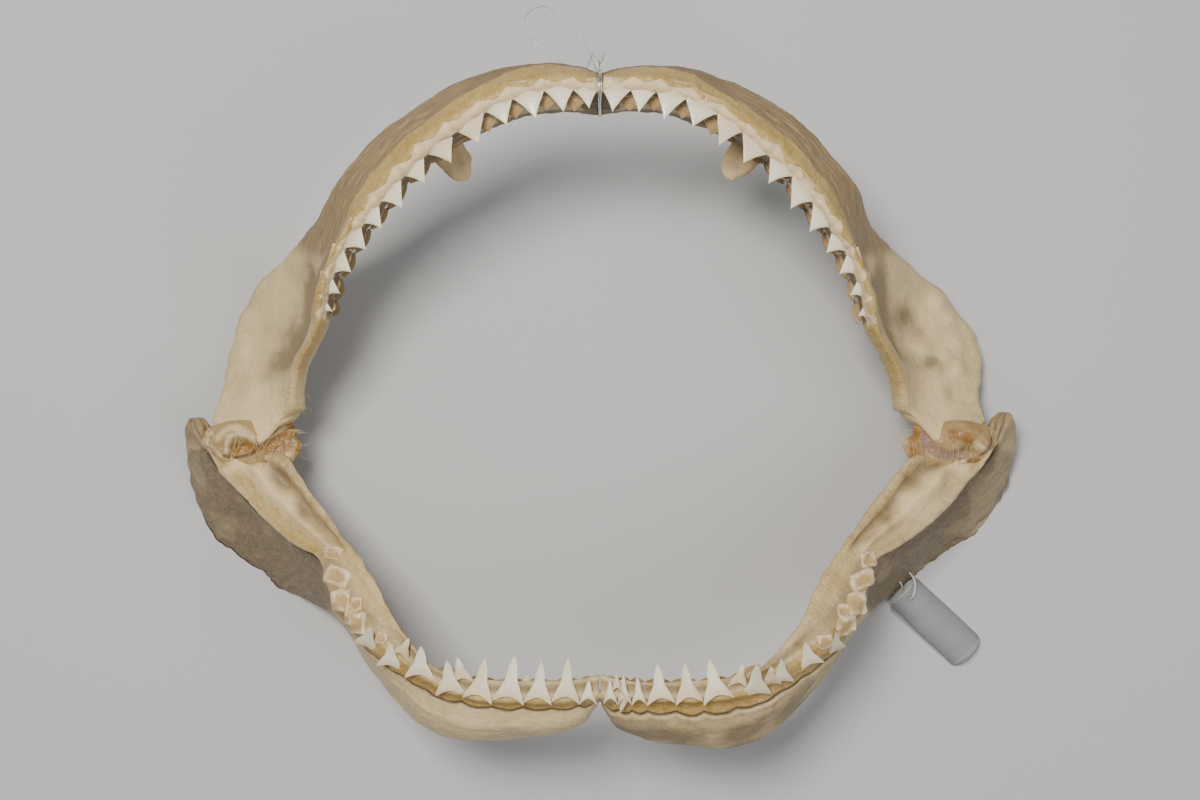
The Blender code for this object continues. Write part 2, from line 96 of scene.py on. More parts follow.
class UpperStation(NamedTuple):
    """A section of the upper half jaw: gum line point, facing in degrees from +Y, and corners."""

    x: float
    y: float
    z: float
    out: float
    cheek: Pair
    edge: Pair
    heel: Pair
    root: Pair

    def corners(self) -> tuple[Pair, ...]:
        """The section's corners, outwards from and above the gum line."""
        under = (self.edge[0] - 0.6 * PLATE, self.edge[1] - 0.9 * PLATE)
        tongue = (0.5 * self.root[0] - 2, 0.55 * self.root[1])
        return (0, 0), LIP, self.cheek, self.edge, under, self.heel, self.root, tongue, (-2, -6)


class LowerStation(NamedTuple):
    """A section of the lower half jaw: gum line point, facing in degrees from -Y, and corners."""

    x: float
    y: float
    z: float
    out: float
    seam: Pair
    bulge: Pair
    edge: Pair
    keel: Pair
    tongue: Pair
    crest: Pair

    def corners(self) -> tuple[Pair, ...]:
        """The section's corners, outwards from and above the gum line."""
        under = (self.edge[0] - 1.5, self.edge[1] - 3)
        back = tuple(0.4 * a + 0.6 * b for a, b in zip(self.keel, self.tongue))
        bed = (0.5 * self.crest[0], 0.5 * self.crest[1] - 1)
        rim = (self.crest[0] - 0.8, self.crest[1] - 5)
        inner = ((back[0] + 1, back[1]), self.tongue, rim, self.crest, bed)
        return (0, 0), self.seam, self.bulge, self.edge, under, self.keel, *inner


# From the symphysis to the hinge.
UPPER = tuple(UpperStation(*row) for row in (
    (-0.7, 144, 135, 0, (9, -3), (13, -15), (7, -34), (-5, -31)),
    (-26, 145.4, 134, 8, (9.5, -4), (15, -17), (8, -38), (-5, -36)),
    (-55, 135.7, 130, 22, (12, -5), (20.5, -19), (12, -40), (-2, -38)),
    (-84.6, 116, 122, 40, (14, -6), (24.5, -20), (15, -43), (3, -41)),
    (-107.7, 93.3, 112, 52, (13, -8), (25.3, -23), (18, -46), (6, -43)),
    (-124, 72.9, 102, 65, (11, -20), (28, -45), (22, -56), (7, -40)),
    (-133.6, 54, 93, 80, (18, -42), (46, -73), (40, -86), (8, -40)),
    (-137.9, 35.7, 84, 86, (22, -44), (54, -72), (47, -83), (7, -36)),
    (-148, 19.1, 72, 88, (20, -35), (49, -58), (42, -70), (6, -32)),
    (-153.2, 4.1, 60, 92, (19, -22), (47, -40), (40, -54), (7, -31)),
    (-154.5, -9, 50, 95, (20, -10), (48.5, -22), (42, -38), (8, -29)),
    (-158, -18, 44, 98, (16, -5), (35, -12), (30, -27), (8, -25)),
))

# From the symphysis to the knob behind the hinge.
LOWER = tuple(LowerStation(*row) for row in (
    (-0.5, -142.8, 112, 0, (3, -6), (8, -13), (10.5, -24), (7, -37), (1, -34), (-9, -1)),
    (-9, -143.4, 112.5, 3, (3.5, -6), (12.5, -12), (17, -26), (12, -40), (2, -36), (-8, 0)),
    (-27.4, -144.1, 113, 6, (4, -6), (16, -12), (22, -27), (16, -42), (3, -38), (-7.5, 1)),
    (-55.8, -143.5, 111, 12, (4, -6), (17, -11), (26, -26), (18, -44), (4, -42), (-7.5, 1)),
    (-73.9, -140.1, 108, 24, (4, -6), (16, -12), (26, -27), (17, -46), (5, -42), (-7, 1)),
    (-88.3, -132, 104, 38, (4, -6), (15, -13), (24, -32), (15, -50), (4, -42), (-6, 1)),
    (-107.7, -117.5, 96, 50, (3, -7), (12, -18), (19.5, -46), (12, -58), (-1, -42), (-10.7, 1)),
    (-122.3, -104, 86, 58, (1, -8), (8, -24), (19.5, -60), (12, -68), (-3, -36), (-14.7, 0)),
    (-133.2, -89.2, 75, 62, (-1, -9), (9, -26), (32, -64), (25, -71), (-7, -26), (-15, 1)),
    (-142.1, -80, 66, 58, (-3, -9), (12, -28), (36.5, -63), (29, -67), (-7, -22), (-15, 2)),
    (-157.6, -72, 58, 50, (-4, -9), (10, -28), (31, -56), (23, -60), (-12, -20), (-22, 2)),
    (-173.9, -59.2, 50, 45, (-4, -9), (10, -26), (31.5, -49), (23, -52), (-16, -20), (-26.5, 2)),
    (-187.4, -45, 44, 48, (-3, -8), (12, -22), (32, -43), (24, -45), (-15, -20), (-25.5, 0)),
    (-202.4, -27.5, 40, 74, (-1, -6), (8, -13), (18.5, -27), (12, -33), (-5, -22), (-6, -4)),
    (-209.3, -11.5, 38, 88, (2, -4), (7, -7), (11, -14), (7, -21), (-1, -20), (-3, -5)),
))

# How far the right side stands off a mirror image of the left, by station: across, along, flange width.
UPPER_RIGHT: tuple[Triple, ...] = (
    (0, 0, 0), (0, 0, 0), (-2, 0, 0), (-3, 0, 0), (-4, 0, 0), (-5, 0, -3),
    (-5, 0, 1), (-4, 0, 8), (-3, 0, 8), (-2, 0, 2), (-1, 0, 0), (0, 0, 0),
)
LOWER_RIGHT: tuple[Triple, ...] = (
    (0, 0, 1), (0, 0, 2), (0, 0, 3), (0, 0, 3), (-1, 0, 1.5), (-1, 0, 0.5), (0, 0, 1.5), (-2, 0, 2.5),
    (-3, 0, -2.5), (-3.5, 0, -3.5), (-3, 0, -3.5), (-2, 0, -4), (-1, 0, -2), (0, 0, 0), (0, 3, 0),
)


# ---- numbers


def spline(values: Array, places: Array, closed: bool = False) -> Array:
    """Catmull-Rom values at fractional places along the first axis.

    Args:
        values: The knots, of any shape after the first axis.
        places: Fractional indices into the knots.
        closed: Whether the last knot is followed by the first.

    Returns:
        One value for each place.
    """
    count = len(values)
    last = count if closed else count - 1
    start = np.clip(np.floor(places).astype(int), 0, last - 1)
    t = (places - start).reshape(-1, *([1] * (values.ndim - 1)))
    steps = (start + k for k in (-1, 0, 1, 2))
    a, b, c, d = (values[k % count if closed else np.clip(k, 0, last)] for k in steps)
    return 0.5 * (2 * b + (c - a) * t + (2 * a - 5 * b + 4 * c - d) * t**2 + (3 * b - a - 3 * c + d) * t**3)


def rise(values: Array, low: float | Array, high: float | Array) -> Array:
    """A smooth step from 0 at `low` to 1 at `high`."""
    t = np.clip((values - low) / (high - low), 0, 1)
    return t * t * (3.0 - 2.0 * t)


def fall(values: Array, low: float | Array, high: float | Array) -> Array:
    """A smooth step from 1 at `low` to 0 at `high`."""
    return 1.0 - rise(values, low, high)


def hump(values: Array, middle: float | Array, width: float | Array) -> Array:
    """A bell of height 1 about `middle`."""
    return np.exp(-(((values - middle) / width) ** 2))


def within(values: Array, low: float | Array, high: float | Array, soft: float) -> Array:
    """1 between `low` and `high` and 0 outside, with soft ends."""
    return rise(values, low - soft, low + soft) * fall(values, high - soft, high + soft)


def unit(vectors: Array) -> Array:
    """The vectors at length 1."""
    return vectors / np.maximum(np.linalg.norm(vectors, axis=-1, keepdims=True), 1e-9)


def lattice(points: Array, seed: int) -> Array:
    """Smooth noise from -1 to 1 with a period of about one unit.

    Args:
        points: Places, of shape (..., 3).
        seed: Which noise to read.

    Returns:
        A value for each place.
    """
    cell = np.floor(points).astype(np.int64)
    part = points - cell
    soft = part * part * (3.0 - 2.0 * part)
    total = np.zeros(points.shape[:-1])
    for corner in product((0, 1), repeat=3):
        key = (cell + np.array(corner)) @ AXIS_PRIMES + seed * SEED_PRIME
        key = ((key ^ (key >> 13)) * SCRAMBLE) & LOW_32
        value = ((key ^ (key >> 16)) & LOW_16) / (LOW_16 / 2) - 1.0
        total += value * np.prod(np.where(np.array(corner), soft, 1.0 - soft), axis=-1)
    return total


def grain(points: Array, size: float | Triple, octaves: int = 3, seed: int = 0) -> Array:
    """Layered noise whose largest lumps are about `size` millimetres across."""
    scaled = points / np.array(size)
    return sum(lattice(scaled * 2.0**k + 7.3 * k, seed + k) * 0.5**k for k in range(octaves))


def stretched(run: Array, girth: Array | float, along: float, across: float, seed: int) -> Array:
    """Noise in the skin's own lengths, drawn out by `along` and `across` millimetres."""
    run, girth = np.broadcast_arrays(run, girth)
    places = np.stack([run / along, girth / across, np.full(run.shape, 0.37 * seed)], axis=-1)
    return grain(places, 1, 2, seed)


def squareness(angle: Array, power: float) -> Array:
    """How far out a square with rounded corners lies, at angles from its middle."""
    return (np.abs(np.cos(angle)) ** power + np.abs(np.sin(angle)) ** power) ** (-1 / power)


def settled(points: Array) -> Array:
    """Points of the maker's frame, in the row frame and in metres."""
    return (points - SETTLED) * MM


def rest(points: Array, soft: float = 0.3) -> Array:
    """The points with what would lie below the table worn down to just above it."""
    worn = points.copy()
    worn[..., 2] = SETTLED[2] + soft * np.logaddexp(0, (points[..., 2] - SETTLED[2]) / soft)
    return worn


def sweep(path: Array, radius: float | Array, sides: int = 10) -> Array:
    """Rings of points round a path, for a round strand.

    Args:
        path: The centre line.
        radius: One radius, or one for each point.
        sides: The points of a ring.

    Returns:
        A grid of points, one row for each point of the path.
    """
    ahead = unit(np.gradient(path, axis=0))
    normals = [unit(np.cross(ahead[0], (0.31, 0.52, 0.79)))]
    for direction in ahead[1:]:
        normals.append(unit(normals[-1] - direction * (normals[-1] @ direction)))
    across = np.array(normals)
    up = np.cross(ahead, across)
    angle = np.linspace(0, math.tau, sides, endpoint=False)[None, :, None]
    wide = np.broadcast_to(np.asarray(radius, float), len(path))[:, None, None]
    return path[:, None] + wide * (across[:, None] * np.cos(angle) + up[:, None] * np.sin(angle))


def smooth_path(points: Sequence[Triple], steps: int) -> Array:
    """A smooth line through given points."""
    knots = np.array(points, float)
    return spline(knots, np.linspace(0, len(knots) - 1, (len(knots) - 1) * steps + 1))


def lengths_along(line: Array) -> Array:
    """The length of a line up to each of its points."""
    return np.concatenate([[0.0], np.cumsum(np.linalg.norm(np.diff(line, axis=0), axis=1))])


def linked(name: str, data: bpy.types.ID) -> bpy.types.Object:
    """A new object of this data, linked to the scene."""
    made = bpy.data.objects.new(name, data)
    bpy.context.scene.collection.objects.link(made)
    return made


# ---- meshes


class MeshBatch:
    """Collects grids of points into one mesh, with named values at its points."""

    def __init__(self, *names: str) -> None:
        """An empty batch whose points carry these values."""
        self.points: list[Array] = []
        self.faces: list[list[int]] = []
        self.values: dict[str, list[Array]] = {name: [] for name in names}
        self.count = 0

    def add(self, grid: Array, closed: bool = True, cap: Cap = Cap.FAN, **values: Array | float) -> None:
        """Adds a grid of points.

        Args:
            grid: Points of shape (rows, columns, 3), in the maker's frame.
            closed: Whether the last column joins the first.
            cap: How its first and last rows are closed.
            values: For each of the batch's names a number or an array of the grid's shape.
        """
        rows, columns = grid.shape[:2]
        index = np.arange(rows * columns).reshape(rows, columns) + self.count
        turned = np.roll(index, -1, axis=1) if closed else index[:, 1:]
        here = index if closed else index[:, :-1]
        quads = np.stack([here[:-1], turned[:-1], turned[1:], here[1:]], axis=-1)
        self.faces += quads.reshape(-1, 4).tolist()
        ends = (0, -1) if cap is Cap.FAN else ()
        for hub, k in enumerate(ends, self.count + rows * columns):
            self.faces += [[hub, int(a), int(b)] for a, b in zip(index[k], np.roll(index[k], -1))]
        if cap is Cap.STRIP:
            for ring in (index[0], index[-1]):
                self.faces += [self.across(ring, k) for k in range(columns // 2)]
        hubs = [grid[k].mean(axis=0)[None] for k in ends]
        self.points.append(np.concatenate([grid.reshape(-1, 3), *hubs]))
        for name, store in self.values.items():
            value = np.broadcast_to(np.asarray(values.get(name, 0), float), (rows, columns))
            store.append(np.concatenate([value.ravel(), [value[k].mean() for k in ends]]))
        self.count += rows * columns + len(ends)

    @staticmethod
    def across(ring: Array, k: int) -> list[int]:
        """The face that closes a flat row between its steps k and k + 1."""
        corners = (ring[k], ring[k + 1], ring[-(k + 1)], ring[-k])
        return list(dict.fromkeys(int(c) for c in corners))

    def build(self, name: str, material: bpy.types.Material, sharp: float | None = None) -> bpy.types.Object:
        """Makes the object.

        Args:
            name: The piece's name.
            material: Its finish.
            sharp: The angle in degrees above which an edge isn't smoothed, or None.

        Returns:
            The new object, linked to the scene.
        """
        work = bmesh.new()
        mesh = bpy.data.meshes.new(name)
        mesh.from_pydata(settled(np.concatenate(self.points)).tolist(), [], self.faces)
        work.from_mesh(mesh)
        bmesh.ops.recalc_face_normals(work, faces=work.faces)
        work.to_mesh(mesh)
        work.free()
        for value_name, store in self.values.items():
            attribute = mesh.attributes.new(value_name, "FLOAT", "POINT")
            attribute.data.foreach_set("value", np.concatenate(store).astype(np.float32))
        mesh.shade_smooth()
        if sharp is not None:
            mesh.set_sharp_from_angle(angle=math.radians(sharp))
        mesh.materials.append(material)
        return linked(name, mesh)


def settle_piece(piece: bpy.types.Object, slot: str, *nodes: str) -> bpy.types.Object:
    """Rides a piece on the jaws, logs its slot and hides the nodes that it stands for."""
    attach(piece, "root")
    if nodes:
        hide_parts(*nodes)
    log.info("%s: %d points, slot %s", piece.name, len(getattr(piece.data, "vertices", ())), slot)
    return piece


# ---- finishes


class Signal:
    """A shader socket that takes part in Python arithmetic."""

    def __init__(self, bench: "Bench", socket: bpy.types.NodeSocket) -> None:
        """Wraps a socket of the bench's material."""
        self.bench = bench
        self.socket = socket

    def _math(self, operation: str, first: Any, second: Any) -> "Signal":
        """Adds a Math node for two values, of which at least one is a signal."""
        made = self.bench.node("ShaderNodeMath", {"operation": operation}, {0: first, 1: second})
        return Signal(self.bench, made.outputs[0])

    def __add__(self, other: Any) -> "Signal":
        """This plus another."""
        return self._math("ADD", self, other)

    def __radd__(self, other: Any) -> "Signal":
        """A number plus this."""
        return self._math("ADD", other, self)

    def __sub__(self, other: Any) -> "Signal":
        """This less another."""
        return self._math("SUBTRACT", self, other)

    def __rsub__(self, other: Any) -> "Signal":
        """A number less this."""
        return self._math("SUBTRACT", other, self)

    def __mul__(self, other: Any) -> "Signal":
        """This times another."""
        return self._math("MULTIPLY", self, other)

    def __rmul__(self, other: Any) -> "Signal":
        """A number times this."""
        return self._math("MULTIPLY", other, self)


class Bench:
    """Adds the nodes of one material."""

    def __init__(self, name: str) -> None:
        """A new material with an empty node tree."""
        self.material = bpy.data.materials.new(name)
        self.material.use_nodes = True
        self.tree = self.material.node_tree
        self.tree.nodes.clear()

    def node(self, kind: str, settings: dict[str, Any] | None = None,
             sockets: dict[Any, Any] | None = None) -> bpy.types.Node:
        """Adds a node.

        Args:
            kind: The node's type.
            settings: Its own settings, set first.
            sockets: Values or signals by input name or number.

        Returns:
            The node.
        """
        made = self.tree.nodes.new(kind)
        for key, value in (settings or {}).items():
            setattr(made, key, value)
        for key, value in (sockets or {}).items():
            if isinstance(value, Signal):
                self.tree.links.new(value.socket, made.inputs[key])
            else:
                made.inputs[key].default_value = value
        return made

    def value(self, name: str) -> Signal:
        """The value of this name at the mesh's points."""
        made = self.node("ShaderNodeAttribute", {"attribute_type": "GEOMETRY", "attribute_name": name})
        return Signal(self, made.outputs["Fac"])

    def place(self) -> Signal:
        """The object's own coordinates, in metres."""
        return Signal(self, self.node("ShaderNodeTexCoord").outputs["Object"])

    def along_skin(self, along: float, across: float) -> Signal:
        """Coordinates in the skin's lengths, drawn out by these millimetres."""
        girth = self.value("girth") * (1.0 / across)
        run = self.value("run") * (1.0 / along)
        made = self.node("ShaderNodeCombineXYZ", {}, {"X": girth, "Y": run})
        return Signal(self, made.outputs[0])

    def noise(self, size: float, detail: float = 3, rough: float = 0.55, warp: float = 0,
              vector: Signal | None = None) -> Signal:
        """Noise from 0 to 1.

        Args:
            size: The lumps' size in millimetres, or in the vector's units where one is given.
            detail: The number of finer layers.
            rough: How strong the finer layers are.
            warp: How far the noise is warped.
            vector: Coordinates other than the object's.

        Returns:
            The noise.
        """
        scale = 1.0 / (size * MM) if vector is None else 1.0 / size
        sockets = {"Vector": vector or self.place(), "Scale": scale, "Detail": detail,
                   "Roughness": rough, "Distortion": warp}
        return Signal(self, self.node("ShaderNodeTexNoise", {}, sockets).outputs["Fac"])

    def cells(self, size: float) -> Signal:
        """Distance within cells of this size in millimetres."""
        sockets = {"Vector": self.place(), "Scale": 1.0 / (size * MM)}
        return Signal(self, self.node("ShaderNodeTexVoronoi", {}, sockets).outputs["Distance"])

    def step(self, value: Signal, low: float, high: float, floor: float = 0, top: float = 1) -> Signal:
        """A smooth step of a value, from `floor` to `top`."""
        sockets = {"Value": value, "From Min": low, "From Max": high, "To Min": floor, "To Max": top}
        made = self.node("ShaderNodeMapRange", {"interpolation_type": "SMOOTHSTEP"}, sockets)
        return Signal(self, made.outputs["Result"])

    def region(self, name: str, noise: Signal, spread: float = 0.5, low: float = 0.32,
               high: float = 0.68) -> Signal:
        """A region's value, sharpened between `low` and `high`, with its edge broken up by noise."""
        return self.step(self.value(name) + (noise - 0.5) * spread, low, high)

    def mix(self, factor: Signal, under: Signal | Colour, over: Signal | Colour) -> Signal:
        """One colour laid over another by a factor."""
        colours = {k: c if isinstance(c, Signal) else (*c, 1) for k, c in ((6, under), (7, over))}
        settings = {"data_type": "RGBA", "clamp_factor": True}
        made = self.node("ShaderNodeMix", settings, {0: factor, **colours})
        return Signal(self, made.outputs[2])

    def bump(self, height: Signal, depth: float, under: Signal | None = None) -> Signal:
        """A normal from a height of `depth` millimetres, over another normal."""
        sockets: dict[Any, Any] = {"Height": height, "Distance": depth * MM, "Strength": 1.0}
        if under is not None:
            sockets["Normal"] = under
        return Signal(self, self.node("ShaderNodeBump", {}, sockets).outputs["Normal"])

    def finish(self, colour: Signal, roughness: Signal, normal: Signal,
               constants: dict[str, Any] | None = None) -> bpy.types.Material:
        """Ends the material in a Principled shader.

        Args:
            colour: Its base colour.
            roughness: Its roughness.
            normal: Its bumped normal.
            constants: Values of its other sockets.

        Returns:
            The material.
        """
        sockets = {"Base Color": colour, "Roughness": roughness, "Normal": normal, **(constants or {})}
        shader = self.node("ShaderNodeBsdfPrincipled", {}, sockets)
        surface = Signal(self, shader.outputs["BSDF"])
        self.node("ShaderNodeOutputMaterial", {}, {"Surface": surface})
        return self.material


@dataclass(frozen=True)
class CartilageFinish:
    """Dried, calcified cartilage with its gum, membranes and stains, and painted shade and highlights in its
    colour.
    """

    name: str = "cartilage"
    bone: Colour = (0.47, 0.345, 0.165)
    cream: Colour = (0.66, 0.515, 0.275)
    tan: Colour = (0.29, 0.185, 0.08)
    gold: Colour = (0.38, 0.235, 0.05)
    gilt: Colour = (0.48, 0.33, 0.09)
    ivory: Colour = (0.76, 0.58, 0.335)
    strip: Colour = (0.12, 0.082, 0.042)
    # painted highlight: pale glints along the fibres of the striated strip
    fibre_highlight: Colour = (0.31, 0.255, 0.165)
    # grey of the ventral flange, the outer wall and the back: partly the flange's own grey, partly painted
    # shade where these faces turn from the light
    grey: Colour = (0.118, 0.090, 0.062)
    amber: Colour = (0.34, 0.165, 0.035)
    # painted shade behind the teeth, in the fold under the shelf and on the back, with the dark seams; also
    # darker at the foot of the orbital process
    dirt_and_shade: Colour = (0.045, 0.024, 0.010)
    dusk: Colour = (0.15, 0.102, 0.048)
    lift: Colour = (0.78, 0.595, 0.315)
    tessera: float = 1.1

    VALUES: ClassVar[tuple[str, ...]] = (
        "run", "girth", "gum", "ivory", "strip", "pale", "grey", "amber", "dirt_and_shade", "dusk", "lift")

    def make(self) -> bpy.types.Material:
        """Builds the material."""
        bench = Bench(self.name)
        broad = bench.noise(26, 3, 0.6, 0.6)
        middle = bench.noise(7, 4, 0.6, 0.8)
        small = bench.noise(2.2, 4, 0.65)
        fine = bench.noise(0.6, 2)
        fibres = bench.noise(1, 4, 0.6, 0.3, bench.along_skin(14, 1.5))
        wrinkles = bench.noise(1, 3, 0.55, 0.9, bench.along_skin(2, 5.5))
        tiles = bench.cells(self.tessera)
        colour = bench.mix(bench.step(broad * 0.7 + middle * 0.3, 0.34, 0.66), self.bone, self.cream)
        colour = bench.mix(bench.step(middle, 0.48, 0.74) * 0.6, colour, self.tan)
        strip = bench.region("strip", middle)
        streaks = bench.mix(bench.step(fibres, 0.34, 0.62), self.strip, self.tan)
        # painted highlights along the fibres of the strip
        streaks = bench.mix(bench.step(fibres * 0.6 + middle * 0.4, 0.52, 0.66), streaks, self.fibre_highlight)
        colour = bench.mix(strip * 0.9, colour, streaks)
        gold = bench.mix(bench.step(wrinkles * 0.5 + broad * 0.5, 0.36, 0.62), self.gold, self.gilt)
        gum = bench.region("gum", small, 0.7)
        layers: tuple[tuple[Signal, Signal, Triple, Signal | Colour], ...] = (
            (bench.region("pale", middle), small, (0.25, 0.6, 0.45), self.cream),
            (gum, middle, (0.2, 0.6, 0.6), gold),
            (bench.region("ivory", small, 0.6), small, (0.2, 0.7, 0.75), self.ivory),
            (bench.region("grey", middle), small, (0.1, 0.7, 0.65), self.grey),
            (bench.region("amber", small), fibres, (0.2, 0.75, 0.45), self.amber),
        )
        for amount, noise, levels, over in layers:
            colour = bench.mix(amount * bench.step(noise, *levels), colour, over)
        blotch = broad * 0.4 + middle * 0.4 + small * 0.2
        # dusk and lift carry real mottling and stains, and also painted shade in grooves and hollows and
        # painted light on lumps
        colour = bench.mix(bench.region("dusk", blotch, 1.3, 0.05, 1.1) * 0.85, colour, self.dusk)
        colour = bench.mix(bench.region("lift", blotch, 1.1, 0.1, 1.1) * 0.9, colour, self.lift)
        specks = bench.step(bench.noise(1.5, 2, 0.5), 0.66, 0.74) * bench.step(broad, 0.45, 0.6)
        colour = bench.mix(specks * 0.5, colour, self.tan)
        # painted shade and dark seams, laid in as near-black brown
        dirt_and_shade = bench.region("dirt_and_shade", small, 0.35, 0.15, 0.95)
        colour = bench.mix(dirt_and_shade * 0.9, colour, self.dirt_and_shade)
        colour = bench.mix(bench.step(tiles, 0.25, 0.6) * 0.14, colour, self.tan)
        colour = bench.mix(bench.step(fine, 0.3, 0.7) * 0.1, colour, self.cream)
        rough = 0.5 + (middle - 0.5) * 0.25 + (small - 0.5) * 0.2 - gum * 0.1 + dirt_and_shade * 0.15
        normal = bench.bump(tiles * 0.6 + fine * 0.4, 0.1)
        normal = bench.bump(small + middle, 0.5, normal)
        normal = bench.bump(fibres * (0.35 + strip), 0.55, normal)
        normal = bench.bump(wrinkles * (gum + 0.1), 0.5, normal)
        return bench.finish(colour, rough, normal, {"Specular IOR Level": 0.42, "Coat Weight": 0.08,
                                                    "Coat Roughness": 0.35})


@dataclass(frozen=True)
class EnamelFinish:
    """Teeth: bright enamel that turns to a pinkish cream root."""

    name: str = "enamel"
    crown: Colour = (0.84, 0.78, 0.58)
    neck: Colour = (0.70, 0.53, 0.335)
    root: Colour = (0.46, 0.30, 0.115)
    # stains, and painted shade on the teeth hidden behind
    stain_and_shade: Colour = (0.22, 0.13, 0.05)

    VALUES: ClassVar[tuple[str, ...]] = ("height", "edge", "tone", "run", "girth")

    def make(self) -> bpy.types.Material:
        """Builds the material."""
        bench = Bench(self.name)
        height = bench.value("height")
        edge = bench.value("edge")
        tone = bench.value("tone")
        cloud = bench.noise(3, 3, 0.6, 0.5)
        small = bench.noise(0.9, 3, 0.6)
        streaks = bench.noise(1, 3, 0.55, 0.1, bench.along_skin(0.45, 5))
        level = height + (cloud - 0.5) * 0.3 + (streaks - 0.5) * 0.12
        colour = bench.mix(bench.step(level, 0.1, 0.48), self.neck, self.crown)
        colour = bench.mix(bench.step(level, -0.22, 0.06, 1, 0), colour, self.root)
        colour = bench.mix(bench.step(tone, 0.1, 1) * 0.7, colour, self.neck)
        stains = bench.step(small * 0.6 + cloud * 0.4, 0.55, 0.72) * bench.step(level, 0, 0.5, 1, 0.15)
        colour = bench.mix(stains * 0.5, colour, self.stain_and_shade)
        # painted shade: the teeth hidden behind are darkened
        colour = bench.mix(bench.step(level, -0.44, -0.28, 0.5, 0), colour, self.stain_and_shade)
        colour = bench.mix(bench.step(edge, 0.8, 1) * 0.3, colour, self.crown)
        rough = 0.2 + bench.step(level, 0, 0.5, 0.32, 0) + small * 0.12
        normal = bench.bump(streaks * 0.6 + small * 0.4, 0.12)
        normal = bench.bump(cloud, 0.25, normal)
        return bench.finish(colour, rough, normal, {"Specular IOR Level": 0.6, "Coat Weight": 0.25,
                                                    "Coat Roughness": 0.12})


@dataclass(frozen=True)
class SinewFinish:
    """Dried ligament: amber where thick, straw coloured where it frays."""

    name: str = "sinew"
    straw: Colour = (0.37, 0.25, 0.10)
    cream: Colour = (0.60, 0.45, 0.235)
    amber: Colour = (0.27, 0.135, 0.03)
    mauve: Colour = (0.27, 0.16, 0.10)
    brown: Colour = (0.12, 0.058, 0.024)

    VALUES: ClassVar[tuple[str, ...]] = ("run", "girth", "amber", "crest", "mauve", "shade")

    def make(self) -> bpy.types.Material:
        """Builds the material."""
        bench = Bench(self.name)
        fibres = bench.noise(1, 4, 0.6, 0.4, bench.along_skin(9, 0.9))
        cloud = bench.noise(6, 3, 0.6, 0.7)
        small = bench.noise(1.2, 3, 0.6)
        amount = bench.region("amber", cloud, 0.6, 0.2, 0.8)
        # painted highlight: the crests of the folds are laid in cream; the threads are paler straw
        colour = bench.mix(bench.region("crest", small, 0.6, 0.2, 0.8), self.straw, self.cream)
        colour = bench.mix(amount * bench.step(small, 0.1, 0.6, 0.6, 1), colour, self.amber)
        colour = bench.mix(bench.region("mauve", cloud, 0.5, 0.25, 0.75), colour, self.mauve)
        colour = bench.mix(bench.step(fibres, 0.54, 0.78) * 0.3, colour, self.brown)
        colour = bench.mix(bench.region("shade", small, 0.4, 0.2, 0.9) * 0.85, colour, self.brown)
        rough = 0.3 + cloud * 0.25 + (1.0 - amount) * 0.2
        normal = bench.bump(small, 0.2)
        normal = bench.bump(fibres, 0.6, normal)
        return bench.finish(colour, rough, normal, {"Specular IOR Level": 0.5, "Coat Weight": 0.2,
                                                    "Coat Roughness": 0.2})


@dataclass(frozen=True)
class SteelFinish:
    """Bright tie wire, a little dulled."""

    name: str = "wire_steel"
    bright: Colour = (0.80, 0.81, 0.83)
    dull: Colour = (0.42, 0.41, 0.40)

    def make(self) -> bpy.types.Material:
        """Builds the material."""
        bench = Bench(self.name)
        cloud = bench.noise(1.6, 3, 0.6, 0.4)
        scratch = bench.noise(0.25, 2, 0.6)
        colour = bench.mix(bench.step(cloud, 0.45, 0.7) * 0.6, self.bright, self.dull)
        rough = 0.18 + bench.step(cloud, 0.4, 0.7) * 0.25 + scratch * 0.08
        normal = bench.bump(scratch, 0.03)
        return bench.finish(colour, rough, normal, {"Metallic": 1.0})


@dataclass(frozen=True)
class NylonFinish:
    """Clear line, slightly clouded."""

    name: str = "nylon"
    clear: Colour = (0.86, 0.88, 0.90)
    cloudy: Colour = (0.62, 0.64, 0.66)

    def make(self) -> bpy.types.Material:
        """Builds the material."""
        bench = Bench(self.name)
        cloud = bench.noise(4, 3, 0.6)
        scratch = bench.noise(0.5, 2, 0.6)
        colour = bench.mix(bench.step(cloud, 0.4, 0.7), self.clear, self.cloudy)
        rough = 0.12 + cloud * 0.16
        normal = bench.bump(scratch, 0.02)
        return bench.finish(colour, rough, normal, {"Transmission Weight": 0.55, "IOR": 1.53})


@dataclass(frozen=True)
class PaperFinish:
    """White card, laid in dark grey as painted shade, soiled by handling, with soft creases."""

    name: str = "card"
    # painted shade: the card's white is laid in dark grey
    white: Colour = (0.26, 0.26, 0.265)
    soiled: Colour = (0.24, 0.232, 0.225)
    worn: Colour = (0.52, 0.52, 0.51)

    VALUES: ClassVar[tuple[str, ...]] = ("rim",)

    def make(self) -> bpy.types.Material:
        """Builds the material."""
        bench = Bench(self.name)
        cloud = bench.noise(9, 4, 0.6, 0.5)
        pulp = bench.noise(0.35, 3, 0.7)
        fibres = bench.noise(1.4, 4, 0.7, 1.5)
        colour = bench.mix(bench.step(cloud, 0.42, 0.7) * 0.7, self.white, self.soiled)
        colour = bench.mix(bench.region("rim", pulp, 0.3, 0.7, 1) * 0.7, colour, self.worn)
        colour = bench.mix(bench.step(fibres, 0.55, 0.7) * 0.15, colour, self.worn)
        rough = 0.7 + pulp * 0.2
        normal = bench.bump(pulp * 0.6 + fibres * 0.4, 0.06)
        return bench.finish(colour, rough, normal, {"Specular IOR Level": 0.3})


